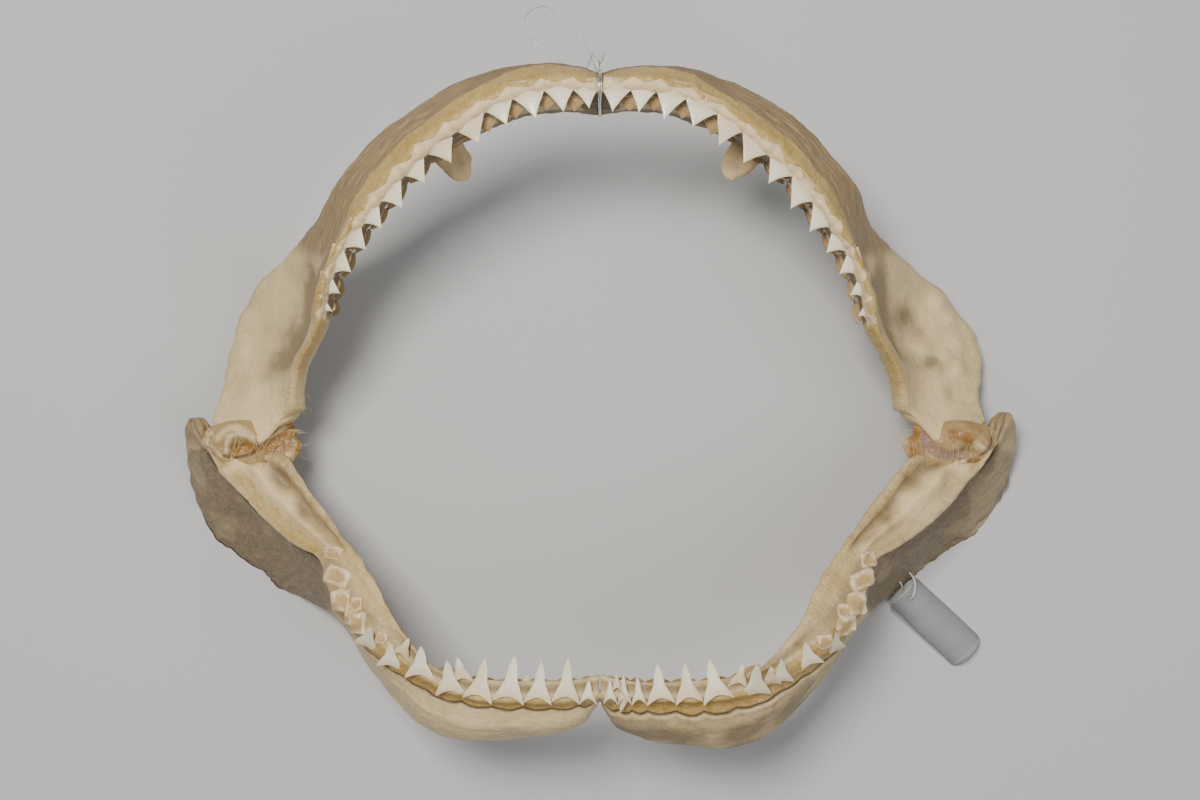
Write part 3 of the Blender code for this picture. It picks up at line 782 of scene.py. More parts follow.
@dataclass(frozen=True)
class CottonFinish:
    """Off-white cotton thread."""

    name: str = "cotton"
    white: Colour = (0.74, 0.73, 0.69)
    dusty: Colour = (0.46, 0.42, 0.35)

    VALUES: ClassVar[tuple[str, ...]] = ("run", "girth")

    def make(self) -> bpy.types.Material:
        """Builds the material."""
        bench = Bench(self.name)
        fibres = bench.noise(1, 3, 0.6, 0.2, bench.along_skin(1.4, 0.14))
        cloud = bench.noise(3, 2)
        colour = bench.mix(bench.step(fibres, 0.4, 0.75) * 0.6 + cloud * 0.2, self.white, self.dusty)
        normal = bench.bump(fibres, 0.06)
        return bench.finish(colour, 0.8 + cloud * 0.15, normal, {"Sheen Weight": 0.3})


# ---- the jaws


@dataclass(frozen=True)
class Mound:
    """A lump, or a hollow where its height is negative, seen from above at x and y."""

    x: float
    y: float
    radius: float
    height: float

    def on(self, points: Array, normals: Array) -> Array:
        """Its height at these points, on faces that look up."""
        far = np.hypot(points[..., 0] - self.x, points[..., 1] - self.y)
        return self.height * np.exp(-((far / self.radius) ** 2)) * rise(normals[..., 2], -0.1, 0.35)


@dataclass
class Skin:
    """The surface of a half jaw on a grid: sections along it by steps round each section."""

    points: Array
    normals: Array
    station: Array     # fractional station of each section, as a column
    corner: Array      # fractional corner of each step, as a row
    run: Array         # length of gum line from the symphysis, as a column
    girth: Array       # length round the section from the gum line: outwards is positive
    out: Array         # outwards from the gum line

    def over(self, x: Array, y: Array) -> tuple[Array, Array]:
        """Heights and normals of the topmost surface over places in plan, each a flat array."""
        away = np.hypot(self.points[..., 0] - x.mean(), self.points[..., 1] - y.mean())
        up = (self.normals[..., 2] > 0.02) & (away < 6.0 + np.ptp(x) + np.ptp(y))
        points, normals = self.points[up], self.normals[up]
        far = (x[:, None] - points[:, 0]) ** 2 + (y[:, None] - points[:, 1]) ** 2
        score = far / 0.6 - points[:, 2] / 2.0
        weight = np.exp(-(score - score.min(axis=1, keepdims=True)))
        weight = weight / weight.sum(axis=1, keepdims=True)
        return weight @ points[:, 2], unit(weight @ normals)


class Patch(NamedTuple):
    """A soft patch, darker or paler, seen from above: partly real stains, partly painted shade and painted
    light.
    """

    x: float
    y: float
    radius: float
    dusk: float = 0.0
    lift: float = 0.0
    slant: float = 1.0     # its length along the y axis over its width


@dataclass
class HalfJaw:
    """One half of a jaw: a loft over stations with its relief, and the regions of its finish."""

    side: Side
    cell: float = 0.9              # size of the mesh's faces
    dome: float = 2.6              # rounding of the hinge end
    dome_rings: int = 6
    front_dome: float = 0.25       # rounding of the end at the symphysis
    end_share: float = 0.25        # how much of its size an end's dome keeps
    pits: float = 0.45             # small unevenness of the whole surface
    swell: float = 1.1             # broad unevenness
    pitches: tuple[float, ...] = ()
    mounds: tuple[Mound, ...] = ()
    patches: tuple[Patch, ...] = ()
    skin: Skin = field(init=False)

    arch: ClassVar[Arch]
    table: ClassVar[tuple[UpperStation | LowerStation, ...]]
    right_offsets: ClassVar[tuple[Triple, ...]]

    def __post_init__(self) -> None:
        """Lofts the surface and raises its relief."""
        self.skin = self.loft()
        self.skin.points = self.bent(self.skin)
        lifted = self.relief(self.skin)[..., None] * self.skin.normals
        self.skin.points = self.skin.points + lifted
        self.skin.points = rest(self.skin.points)
        self.skin.normals = self.facing(self.skin.points)

    def stations(self) -> tuple[Array, Array, Array]:
        """Gum line points, facings in radians and section corners, by station."""
        offsets = self.right_offsets if self.side is Side.RIGHT else ((0, 0, 0),) * len(self.table)
        moved = [
            s._replace(x=s.x - across, y=s.y + along, edge=(s.edge[0] + flange, s.edge[1]))
            for s, (across, along, flange) in zip(self.table, offsets)
        ]
        base = np.array([s[:3] for s in moved], float)
        out = np.radians([s.out for s in moved])
        return base, out, np.array([s.corners() for s in moved], float)

    def placed(self, base: Array, out: Array, section: Array) -> Array:
        """Section points, outwards and above, as points of the maker's frame."""
        turn = out.reshape(-1, *([1] * (section.ndim - 2)))
        start = base.reshape(-1, *([1] * (section.ndim - 2)), 3)
        across = start[..., 0] - np.sin(turn) * section[..., 0]
        along = start[..., 1] + self.arch.value * np.cos(turn) * section[..., 0]
        return np.stack([-self.side.value * across, along, start[..., 2] + section[..., 1]], axis=-1)

    @staticmethod
    def facing(points: Array) -> Array:
        """Outward normals of a closed grid of sections."""
        around = np.roll(points, -1, axis=1) - np.roll(points, 1, axis=1)
        normals = unit(np.cross(around, np.gradient(points, axis=0)))
        outward = points - points.mean(axis=1, keepdims=True)
        return normals if np.sum(outward * normals) > 0 else -normals

    def gum_line(self) -> tuple[Array, Array]:
        """Fractional stations in fine steps, and the length of gum line up to each."""
        base, _, _ = self.stations()
        places = np.linspace(0, len(base) - 1, 40 * (len(base) - 1) + 1)
        return places, lengths_along(spline(base, places))

    def loft(self) -> Skin:
        """The smooth surface over the stations."""
        base, out, corners = self.stations()
        places, lengths = self.gum_line()
        run = np.linspace(0, lengths[-1], int(lengths[-1] / self.cell) + 1)
        station = np.interp(run, lengths, places)
        corner = self.section_steps(corners)
        knots = spline(corners, station)
        section = spline(np.swapaxes(knots, 0, 1), corner, closed=True).swapaxes(0, 1)
        points = self.placed(spline(base, station), spline(out, station), section)
        gaps = np.linalg.norm(np.roll(section, -1, axis=1) - section, axis=-1)
        reached = np.cumsum(gaps, axis=1) - gaps
        total = gaps.sum(axis=1, keepdims=True)
        inwards = np.arange(len(corner)) >= int(np.argmax(reached[0] >= OUTER_SHARE * total[0]))
        girth = reached - total * inwards
        return Skin(points, self.facing(points), station[:, None], corner[None], run[:, None], girth,
                    section[..., 0])

    def section_steps(self, corners: Array) -> Array:
        """Fractional corners at about one cell's distance round an average section."""
        count = corners.shape[1]
        lengths = np.linalg.norm(np.roll(corners, -1, axis=1) - corners, axis=-1).mean(axis=0)
        steps = [max(4, round(length / self.cell)) for length in lengths]
        return np.concatenate([i + np.arange(n) / n for i, n in zip(range(count), steps)])

    def tooth_phase(self, run: Array) -> Array:
        """0 at the middle of a tooth and 1 between two teeth."""
        ends = FIRST_TOOTH + np.concatenate([[0.0], np.cumsum(self.pitches)])
        place = np.interp(run, ends, np.arange(len(ends)))
        return np.abs(2.0 * (place - np.floor(place)) - 1)

    def bent(self, skin: Skin) -> Array:
        """The loft's points after what its stations can't say."""
        return skin.points

    def relief(self, skin: Skin) -> Array:
        """Height above the smooth loft."""
        lumps = sum((mound.on(skin.points, skin.normals) for mound in self.mounds), np.zeros(skin.out.shape))
        noise = grain(skin.points, 9, 3, 11) * 0.8 + grain(skin.points, 2.6, 2, 23) * 0.35
        swell = grain(skin.points, 24, 2, 13) * self.swell
        return lumps + noise * self.pits + swell

    def regions(self, skin: Skin) -> dict[str, Array]:
        """Where each of the finish's regions lies, from 0 to 1."""
        raise NotImplementedError

    def stains(self, skin: Skin) -> tuple[Array, Array]:
        """How dark and how pale the patches make the surface, with their real stains, painted shade and
        painted light.
        """
        dusk, lift = np.zeros(skin.out.shape), np.zeros(skin.out.shape)
        above = rise(skin.normals[..., 2], -0.1, 0.3)
        for patch in self.patches:
            far = np.hypot(skin.points[..., 0] - patch.x, (skin.points[..., 1] - patch.y) / patch.slant)
            there = above * np.exp(-((far / patch.radius) ** 2))
            dusk, lift = dusk + patch.dusk * there, lift + patch.lift * there
        return dusk, lift

    def end_rings(self, ring: Array, before: Array, reach: Array) -> Array:
        """Rings that close an end in a low dome.

        Args:
            ring: The last section.
            before: The section before it.
            reach: How far each of its points goes out.

        Returns:
            The rings, outwards from the last section.
        """
        middle = ring.mean(axis=0)
        onwards = unit(middle - before.mean(axis=0))
        angles = np.linspace(0, math.pi / 2, self.dome_rings + 1)[1:-1]
        shares = self.end_share + (1.0 - self.end_share) * np.cos(angles)
        return np.array([
            middle + (ring - middle) * share + onwards * reach[:, None] * math.sin(a)
            for a, share in zip(angles, shares)
        ])

    def reach(self, skin: Skin) -> Array:
        """How far the hinge end is domed at each step of its last section."""
        return np.full(skin.points.shape[1], self.dome)

    def mesh(self, batch: MeshBatch) -> None:
        """Adds the closed surface with its regions to a batch."""
        skin = self.skin
        hinge = self.end_rings(skin.points[-1], skin.points[-3], self.reach(skin))
        low_dome = np.full(skin.points.shape[1], self.front_dome)
        front = self.end_rings(skin.points[0], skin.points[2], low_dome)
        grid = np.concatenate([front[::-1], skin.points, rest(hinge)])
        shape = skin.out.shape
        values = {"run": np.broadcast_to(skin.run, shape), "girth": skin.girth, **self.regions(skin)}
        pad = ((len(front), len(hinge)), (0, 0))
        batch.add(grid, **{k: np.pad(np.broadcast_to(v, shape), pad, "edge") for k, v in values.items()})


@dataclass
class UpperHalf(HalfJaw):
    """An upper half jaw: teeth along its gum, and a broad flange towards the hinge."""

    gum_height: float = 0.9
    process_station: float = 2.66
    process_base: Pair = (4, -40)
    process_tip: Pair = (-13.5, -52)
    process_size: Pair = (14, 9)
    process_root: float = -0.15        # where it starts and ends, over the way from base to tip
    process_end: float = 1.08
    process_power: float = 3.2         # how square its section is

    arch: ClassVar[Arch] = Arch.UPPER
    table: ClassVar[tuple[UpperStation, ...]] = UPPER
    right_offsets: ClassVar[tuple[Triple, ...]] = UPPER_RIGHT

    def bands(self, skin: Skin) -> tuple[Array, Array, Array]:
        """How far teeth stand along the gum, and the inner and outer edges of its band."""
        end = FIRST_TOOTH + sum(self.pitches)
        standing = fall(skin.run, end - 3, end + 8)
        phase = self.tooth_phase(skin.run)
        wander = stretched(skin.run, 0, 7, 1, 31)
        inner = 3.9 + 2.4 * phase**2 + 0.9 * wander
        broad = stretched(skin.run, 0, 17, 1, 37)
        outer = 16.0 + 2.5 * broad + 4.0 * fall(skin.station, 0.6, 2) - rise(skin.station, 3, 5)
        return standing, inner, outer

    def relief(self, skin: Skin) -> Array:
        """Gum band, root swellings, striae, and the groove of the flange."""
        standing, inner, outer = self.bands(skin)
        girth, run = skin.girth, skin.run
        phase = self.tooth_phase(run)
        roll = self.gum_height * hump(girth, inner + 2.6, 2.4) * (0.75 + 0.35 * phase)
        roots = 0.6 * hump(girth, 2.6, 3) * hump(phase, 0.62, 0.3)
        roots = roots - 0.5 * hump(girth, 1.5, 3) * phase**12
        wrinkle = 0.22 * stretched(run, girth, 1.7, 4.5, 41) * within(girth, inner, outer + 2, 1.5)
        striae = 0.3 * stretched(run, girth, 22, 1.6, 43)
        strip = rise(girth, outer - 1, outer + 2) * fall(girth, 38, 48)
        flange = rise(skin.station, 4.6, 6.2)
        groove = -1.6 * hump(skin.corner, 1.62, 0.3) * flange * fall(skin.station, 8.2, 9.5)
        symphysis = -1.5 * np.exp(-((run / 5) ** 2)) * rise(girth, 2, 8)
        lingual = 0.5 * stretched(run, girth, 6, 9, 47) * (girth < -8)
        rough_edge = 0.9 * stretched(run, girth, 5, 12, 53) * hump(skin.corner, 3.2, 0.7) * flange
        return (super().relief(skin) + standing * (roll + roots + wrinkle)
                + striae * strip * (1 - 0.6 * flange) + groove + symphysis + lingual + rough_edge)

    def regions(self, skin: Skin) -> dict[str, Array]:
        """Golden gum, ivory root band, striated strip, pale flange, and painted shade in the groove, behind
        the teeth and on the back.
        """
        standing, inner, outer = self.bands(skin)
        girth, station = skin.girth, skin.station
        flange = rise(station, 4.6, 6)
        labial = (girth > -3) * 1.0
        low = rise(station, 8, 9.6)
        back = rise(-girth, 8, 16)
        gum = standing * within(girth, inner, outer, 1)
        gum = gum + 0.75 * (1.0 - standing) * within(girth, -3, 9, 3)
        strip = rise(girth, outer - 1, outer + 1) * (1.0 - flange) * labial
        cloud = rise(grain(skin.points, 16, 3, 103), -0.3, 0.25)
        # painted shade in the groove along the flange
        groove = hump(skin.corner, 1.62, 0.24) * rise(station, 4.4, 5.4) * fall(station, 7.4, 8.4)
        dark, light = self.stains(skin)
        dusk = 0.3 * flange * labial * (1.0 - low) * (1.0 - cloud) * rise(girth, 8, 16) + dark
        # painted shade along the outer rim at the front, and in the groove
        dusk = dusk + 0.9 * strip * fall(station, 1.2, 3) + 0.85 * groove
        lit = standing * fall(station, self.process_station - 0.5, self.process_station)
        lit = lit * within(girth, -26, -5, 1.2) * rise(np.abs(skin.run), 6, 10)
        # painted shade: the lingual face behind the standing teeth and the back are laid in dark brown, less
        # where the lingual face is lit between the front teeth
        dirt_and_shade = standing * (within(girth, -20, -0.8, 1) + 0.25 * hump(girth, inner + 0.1, 0.5))
        dirt_and_shade = (dirt_and_shade + 0.7 * back * back) * (1.0 - 0.85 * lit)
        return {"gum": gum, "strip": strip, "dusk": dusk, "dirt_and_shade": dirt_and_shade,
                "ivory": standing * within(girth, -1.2, inner, 0.6),
                "pale": 0.85 * flange * rise(girth, 9, 22),
                "lift": light + 0.45 * low * flange * labial + 0.3 * lit,
                # painted shade: the back of the jaw is greyed, less where it is lit
                "grey": 0.25 * back * (1.0 - lit),
                "amber": 0.25 * back + 0.5 * flange * hump(skin.corner, 3.05, 0.14)}

    def bent(self, skin: Skin) -> Array:
        """The hinge end narrows to a blunt point, raised over the ligament."""
        points = skin.points.copy()
        point = hump(skin.out, 18, 10)
        end = rise(skin.station, 9.3, 11)
        points[..., 1] += end * (11.5 * (1.0 - point) * (1.0 - 0.4 * rise(skin.out, 24, 34)) - 1)
        points[..., 2] += rise(skin.station, 9, 10.8) * (4.5 * point + 2.5)
        return points

    def reach(self, skin: Skin) -> Array:
        """The hinge end is thinner at its outer edge."""
        return self.dome * (1.0 - 0.4 * rise(skin.out[-1], 24, 34))

    def mesh(self, batch: MeshBatch) -> None:
        """Adds the surface and its orbital process."""
        super().mesh(batch)
        self.add_process(batch)

    def add_process(self, batch: MeshBatch, rows: int = 40, columns: int = 44) -> None:
        """Adds the squarish tongue of cartilage that stands inwards and back from the jaw."""
        base, out, _ = self.stations()
        v = np.array([self.process_station] * 2)
        ends = self.placed(spline(base, v), spline(out, v), np.array([self.process_base, self.process_tip]))
        up = unit(ends[1] - ends[0])
        across = unit(np.cross((0, 0, 1), up))
        thick = np.cross(up, across)
        length = float(np.linalg.norm(ends[1] - ends[0]))
        first, last = self.process_root, self.process_end
        t = np.linspace(first, last, rows)[:, None]
        angle = np.linspace(0, math.tau, columns, endpoint=False)[None]
        round_off = np.sqrt(np.clip((last - t) / 0.12, 0, 1))
        square = squareness(angle, self.process_power)
        narrowing = np.interp(t, (first, 0.2, 0.62, last), (1.5, 1.25, 1.1, 0.42)) * round_off
        wide = self.process_size[0] / 2 * (square * np.cos(angle) - 0.25 * rise(t, 0.5, 1.1)) * narrowing
        deep = self.process_size[1] / 2 * square * np.sin(angle) * round_off * (1.3 - 0.5 * t)
        grid = ends[0] + (t * length)[..., None] * up + wide[..., None] * across + deep[..., None] * thick
        bent = grid + (grain(grid, 6, 3, 97) * 0.7)[..., None] * self.facing(grid)
        worn = rise(np.broadcast_to(t, wide.shape), 0.55, 1)
        batch.add(bent, run=t * length, girth=angle * 6, gum=0.15, amber=0.4 - 0.3 * worn, pale=0.5,
                  lift=0.4 + 0.45 * worn, dirt_and_shade=0.3 * fall(t, 0.1, 0.4))


@dataclass
class LowerHalf(HalfJaw):
    """A lower half jaw: a scalloped gum over the chin, a tooth band and a shelf to the hinge."""

    seam: tuple[float, ...] = ()         # outwards from the gum line, by station
    chin_grey: float = 0.0
    shelf_gold: float = 0.62
    lip_stations: tuple[float, ...] = (5.8, 6.4, 7, 7.5, 8, 8.5, 9.2)
    lip_reach: tuple[float, ...] = (0, 2, 4.6, 5.8, 5.4, 3, 0)

    arch: ClassVar[Arch] = Arch.LOWER
    table: ClassVar[tuple[LowerStation, ...]] = LOWER
    right_offsets: ClassVar[tuple[Triple, ...]] = LOWER_RIGHT

    def seam_out(self, skin: Skin) -> tuple[Array, Array]:
        """How far out the seam under the gum lies, and how marked it is."""
        knots = np.arange(len(self.seam), dtype=float)
        line = np.interp(skin.station, knots, self.seam)
        wander = 0.7 * stretched(skin.run, 0, 6, 1, 61)
        scallop = 0.8 - 1.5 * self.tooth_phase(skin.run) ** 2
        scallop = scallop * (1.0 - 0.8 * rise(skin.station, 3.4, 4.8))
        return line + wander + scallop, fall(skin.station, 6.2, 7.2)

    def shelf(self, skin: Skin) -> tuple[Array, Array]:
        """How much a place belongs to the shelf, and its way from the crease, 0, to the crest, 1."""
        count = skin.corner.max() // 1 + 1
        across = (count - skin.corner) / 2.0
        top = (across >= 0) & (across <= 1.15)
        return top * rise(skin.station, 8.4, 9.4) * fall(skin.station, 12.6, 13.4), across

    def relief(self, skin: Skin) -> Array:
        """Seam, gum scallops, tooth band, the ridges of the shelf and the edge of the flange."""
        seam, marked = self.seam_out(skin)
        girth, out, run, station = skin.girth, skin.out, skin.run, skin.station
        labial = (girth >= 0) * 1.0
        under_gum = marked * labial * (girth < 30)
        phase = self.tooth_phase(run)
        groove = -1.1 * hump(out, seam, 0.55) * under_gum
        gum = 0.9 * within(out, 0, seam - 0.4, 0.8) * marked * labial * (0.7 + 0.45 * (1 - phase**2))
        below = 0.5 * hump(out, seam + 2, 1.8) * under_gum
        wrinkle = 0.25 * stretched(run, girth, 1.8, 4, 67) * within(out, 0, seam, 1) * marked * labial
        band = rise(station, 5.6, 6.8) * fall(station, 8.6, 9.6)
        shoulder = 1.6 * hump(girth, 7.5, 4.5) * band
        shoulder = shoulder + 4.0 * hump(girth, 7, 5) * rise(station, 4.4, 5.8) * (1.0 - band)
        shoulder = shoulder + 2.4 * hump(girth, 7, 5) * band * fall(station, 7.4, 8.4)
        shelf, across = self.shelf(skin)
        swerve = across + 0.06 * stretched(run, girth, 14, 40, 89)
        ridges = shelf * (2.6 * hump(swerve, 0.48, 0.11) - 3.4 * hump(swerve, 0.73, 0.1)
                          + 1.0 * hump(swerve, 0.93, 0.09) - 1.2 * hump(swerve, 0.22, 0.1))
        crease = 0.7 * rise(station, 8.2, 9) * fall(station, 12.4, 13.2) * hump(girth, -0.8, 1.2)
        flange = rise(station, 7, 8.5) * fall(station, 12.6, 13.6)
        edge = 0.9 * stretched(run, girth, 5, 12, 71) * hump(skin.corner, 3.1, 0.7) * flange
        striae = 0.22 * stretched(run, girth, 20, 2.2, 73) * labial * rise(girth, 12, 18)
        symphysis = -2.2 * np.exp(-((run / 5) ** 2)) * rise(girth, 4, 10)
        lingual = 0.5 * stretched(run, girth, 6, 9, 79) * (girth < -12)
        return (super().relief(skin) + groove + gum + below + wrinkle + shoulder + ridges + crease + edge
                + striae + symphysis + lingual)

    def regions(self, skin: Skin) -> dict[str, Array]:
        """Gum, seam, chin, tooth band, shelf, ventral flange and knob, with painted shade in the fold under
        the shelf, behind the teeth, on the back and over the ventral flange.
        """
        seam, marked = self.seam_out(skin)
        girth, out, station, corner = skin.girth, skin.out, skin.station, skin.corner
        labial = (girth >= 0) * 1.0
        near = (np.abs(girth) < 34) * 1.0
        front = fall(station, 5.6, 7)
        gum = marked * within(out, -1, seam, 0.6) * near
        band = rise(station, 5.6, 6.8) * fall(station, 8.6, 9.4)
        shelf, across = self.shelf(skin)
        swerve = across + 0.06 * stretched(skin.run, girth, 14, 40, 89)
        valley = shelf * hump(swerve, 0.73, 0.1)
        outer_half = fall(swerve, 0.26, 0.42)
        inner_strip = band * within(girth, -20, -7, 2)
        chin = front * labial * rise(out, seam + 1, seam + 3)
        # the outer wall and the ventral flange are greyed: partly their own grey, partly painted shade
        wall = rise(station, 6.4, 8) * rise(girth, 14, 24) * labial
        ventral = np.maximum(wall, rise(station, 8, 9.4) * within(corner, 0.5, 4.6, 0.25))
        knob = rise(station, 12.8, 13.6)
        back = rise(-girth, 12, 20) * (1.0 - shelf)
        dark, light = self.stains(skin)
        mottle = (0.5 + 0.8 * grain(skin.points, 14, 3, 83)) * rise(out, seam + 3, seam + 13)
        dusk = chin * self.chin_grey * (0.45 + 0.6 * mottle) + 0.85 * knob + 0.1 * marked * near * gum
        dusk = dusk + dark + 0.75 * band * within(girth, -7.5, 9, 1.5) + valley + 0.25 * shelf * outer_half
        # painted shade in the fold under the overhanging edge of the shelf, with some dirt
        fold = within(corner, 0.3, 2.4, 0.1) * rise(station, 7.6, 8.6) * fall(station, 12.8, 13.4)
        fold = fold * fall(out, 3.4, 5.2)
        # the seam's dark line, and painted shade on the back, in the fold and on the lingual face behind the
        # front teeth
        dirt_and_shade = 1.2 * marked * hump(out, seam, 0.95) * labial * near + 0.3 * back + 1.76 * fold
        dirt_and_shade = dirt_and_shade + 0.5 * front * within(girth, -9, -2.5, 1.5) + 0.3 * valley
        gold = gum * 0.8 + shelf * (self.shelf_gold * outer_half + 0.5 * hump(swerve, 0.95, 0.14))
        gold = gold + 0.65 * inner_strip + 0.6 * band * near * labial
        arch = marked * within(out, -3, 1.5, 1.5) * rise(-self.tooth_phase(skin.run), -0.9, -0.1)
        crest = shelf * hump(swerve, 0.48, 0.13) + 0.95 * inner_strip
        patches = rise(grain(skin.points, (30, 18, 18), 3, 91), -0.15, 0.35)
        return {"gum": gold, "dirt_and_shade": dirt_and_shade, "dusk": dusk,
                "ivory": 0.25 * band * within(girth, -6, 10, 2),
                "pale": chin * (0.9 - 0.6 * self.chin_grey),
                # grey: partly the flange's own grey, partly painted shade on the ventral flange and the back
                "grey": 0.95 * ventral * (1.0 - knob) + 0.1 * back,
                "amber": 0.2 * back + 0.35 * valley + 0.5 * marked * within(out, 1, seam, 0.6) * near,
                "lift": light + 0.62 * crest + 0.35 * ventral * patches + 0.45 * arch}

    def bent(self, skin: Skin) -> Array:
        """The lip of the tooth band stands out, and the knob behind the hinge is rounded like a thumb."""
        _, out, _ = self.stations()
        turn = spline(out, skin.station[:, 0])
        outwards = self.placed(np.zeros((len(turn), 3)), turn, np.tile(((1, 0),), (len(turn), 1, 1)))
        lip = np.interp(skin.station, self.lip_stations, self.lip_reach)
        lip = lip * rise(skin.girth, -11, -0.5) * fall(skin.girth, 9, 26)
        points = skin.points + lip[..., None] * outwards
        middle = points.mean(axis=1, keepdims=True)
        end = np.clip((skin.station - 13.3) / 0.7, 0, 1)[..., None]
        return middle + (points - middle) * (1.0 - 0.34 * end**3.4)


# ---- the teeth


@dataclass(frozen=True)
class ToothForm:
    """The outline of a tooth: half widths over its pitch by heights over its crown, and its section."""

    heights: tuple[float, ...]
    mesial: tuple[float, ...]
    distal: tuple[float, ...]
    labial: float          # thickness of the flatter outer side
    lingual: float         # thickness of the fuller inner side
    arch: float            # how far the base's ends hang below its middle
    teeth: float           # depth of the serrations
    pitch: float = 0.85    # their length

    def grid(self, width: float, height: float, rows: int, columns: int, bend: float) -> tuple[Array, ...]:
        """The tooth in its own frame.

        Args:
            width: Its share of the gum.
            height: Its crown.
            rows: Steps from the root to the tip.
            columns: Steps across each side.
            bend: How far its tip turns outwards.

        Returns:
            Lengths across, up and facing outwards, then the relative height and closeness to an edge.
        """
        level = np.linspace(self.heights[0], 1, rows)
        sides = [np.interp(level, self.heights, side) for side in (self.mesial, self.distal)]
        wave = np.abs((level * height / self.pitch) % 1.0 * 2.0 - 1)
        saw = self.teeth * wave * within(level, 0.2, 0.96, 0.04)
        left, right = (side * width - saw for side in sides)
        across = np.linspace(-1, 1, columns + 1)
        ring = np.concatenate([across, across[-2:0:-1]])
        outer = np.arange(2 * columns) <= columns
        edge = np.abs(ring)
        x = np.where(ring[None] < 0, ring[None] * left[:, None], ring[None] * right[:, None])
        crown = np.clip(level, 0, 1)[:, None]
        taper = 1.0 - 0.8 * crown**1.1
        thick = np.where(outer, self.labial * (1 - edge**3), -self.lingual * (1 - edge**1.8))[None] * taper
        low = self.heights[0]
        drop = self.arch * (edge[None] ** 1.7) * fall(level, low, low + 0.22)[:, None]
        up = level[:, None] * height - drop
        curve = bend * crown**2 - 0.5 * bend * np.sin(crown * math.pi)
        relative = np.broadcast_to(level[:, None], x.shape)
        return x, up, thick + curve, relative, np.broadcast_to(edge[None], x.shape)


UPPER_FORM = ToothForm(
    heights=(-0.22, 0, 0.22, 0.27, 0.36, 0.48, 0.62, 0.76, 0.89, 0.96, 1),
    mesial=(0.49, 0.51, 0.51, 0.485, 0.425, 0.335, 0.235, 0.15, 0.07, 0.028, 0.004),
    distal=(0.49, 0.51, 0.51, 0.465, 0.385, 0.29, 0.20, 0.13, 0.065, 0.028, 0.004),
    labial=1.1, lingual=2.4, arch=0.3, teeth=0.3)
LOWER_FORM = ToothForm(
    heights=(0.14, 0.20, 0.26, 0.33, 0.42, 0.51, 0.65, 0.79, 0.88, 0.95, 1),
    mesial=(0.50, 0.48, 0.405, 0.31, 0.236, 0.198, 0.170, 0.128, 0.085, 0.047, 0.014),
    distal=(0.50, 0.475, 0.395, 0.30, 0.228, 0.192, 0.164, 0.124, 0.083, 0.047, 0.014),
    labial=1.3, lingual=2.2, arch=3.6, teeth=0.06)


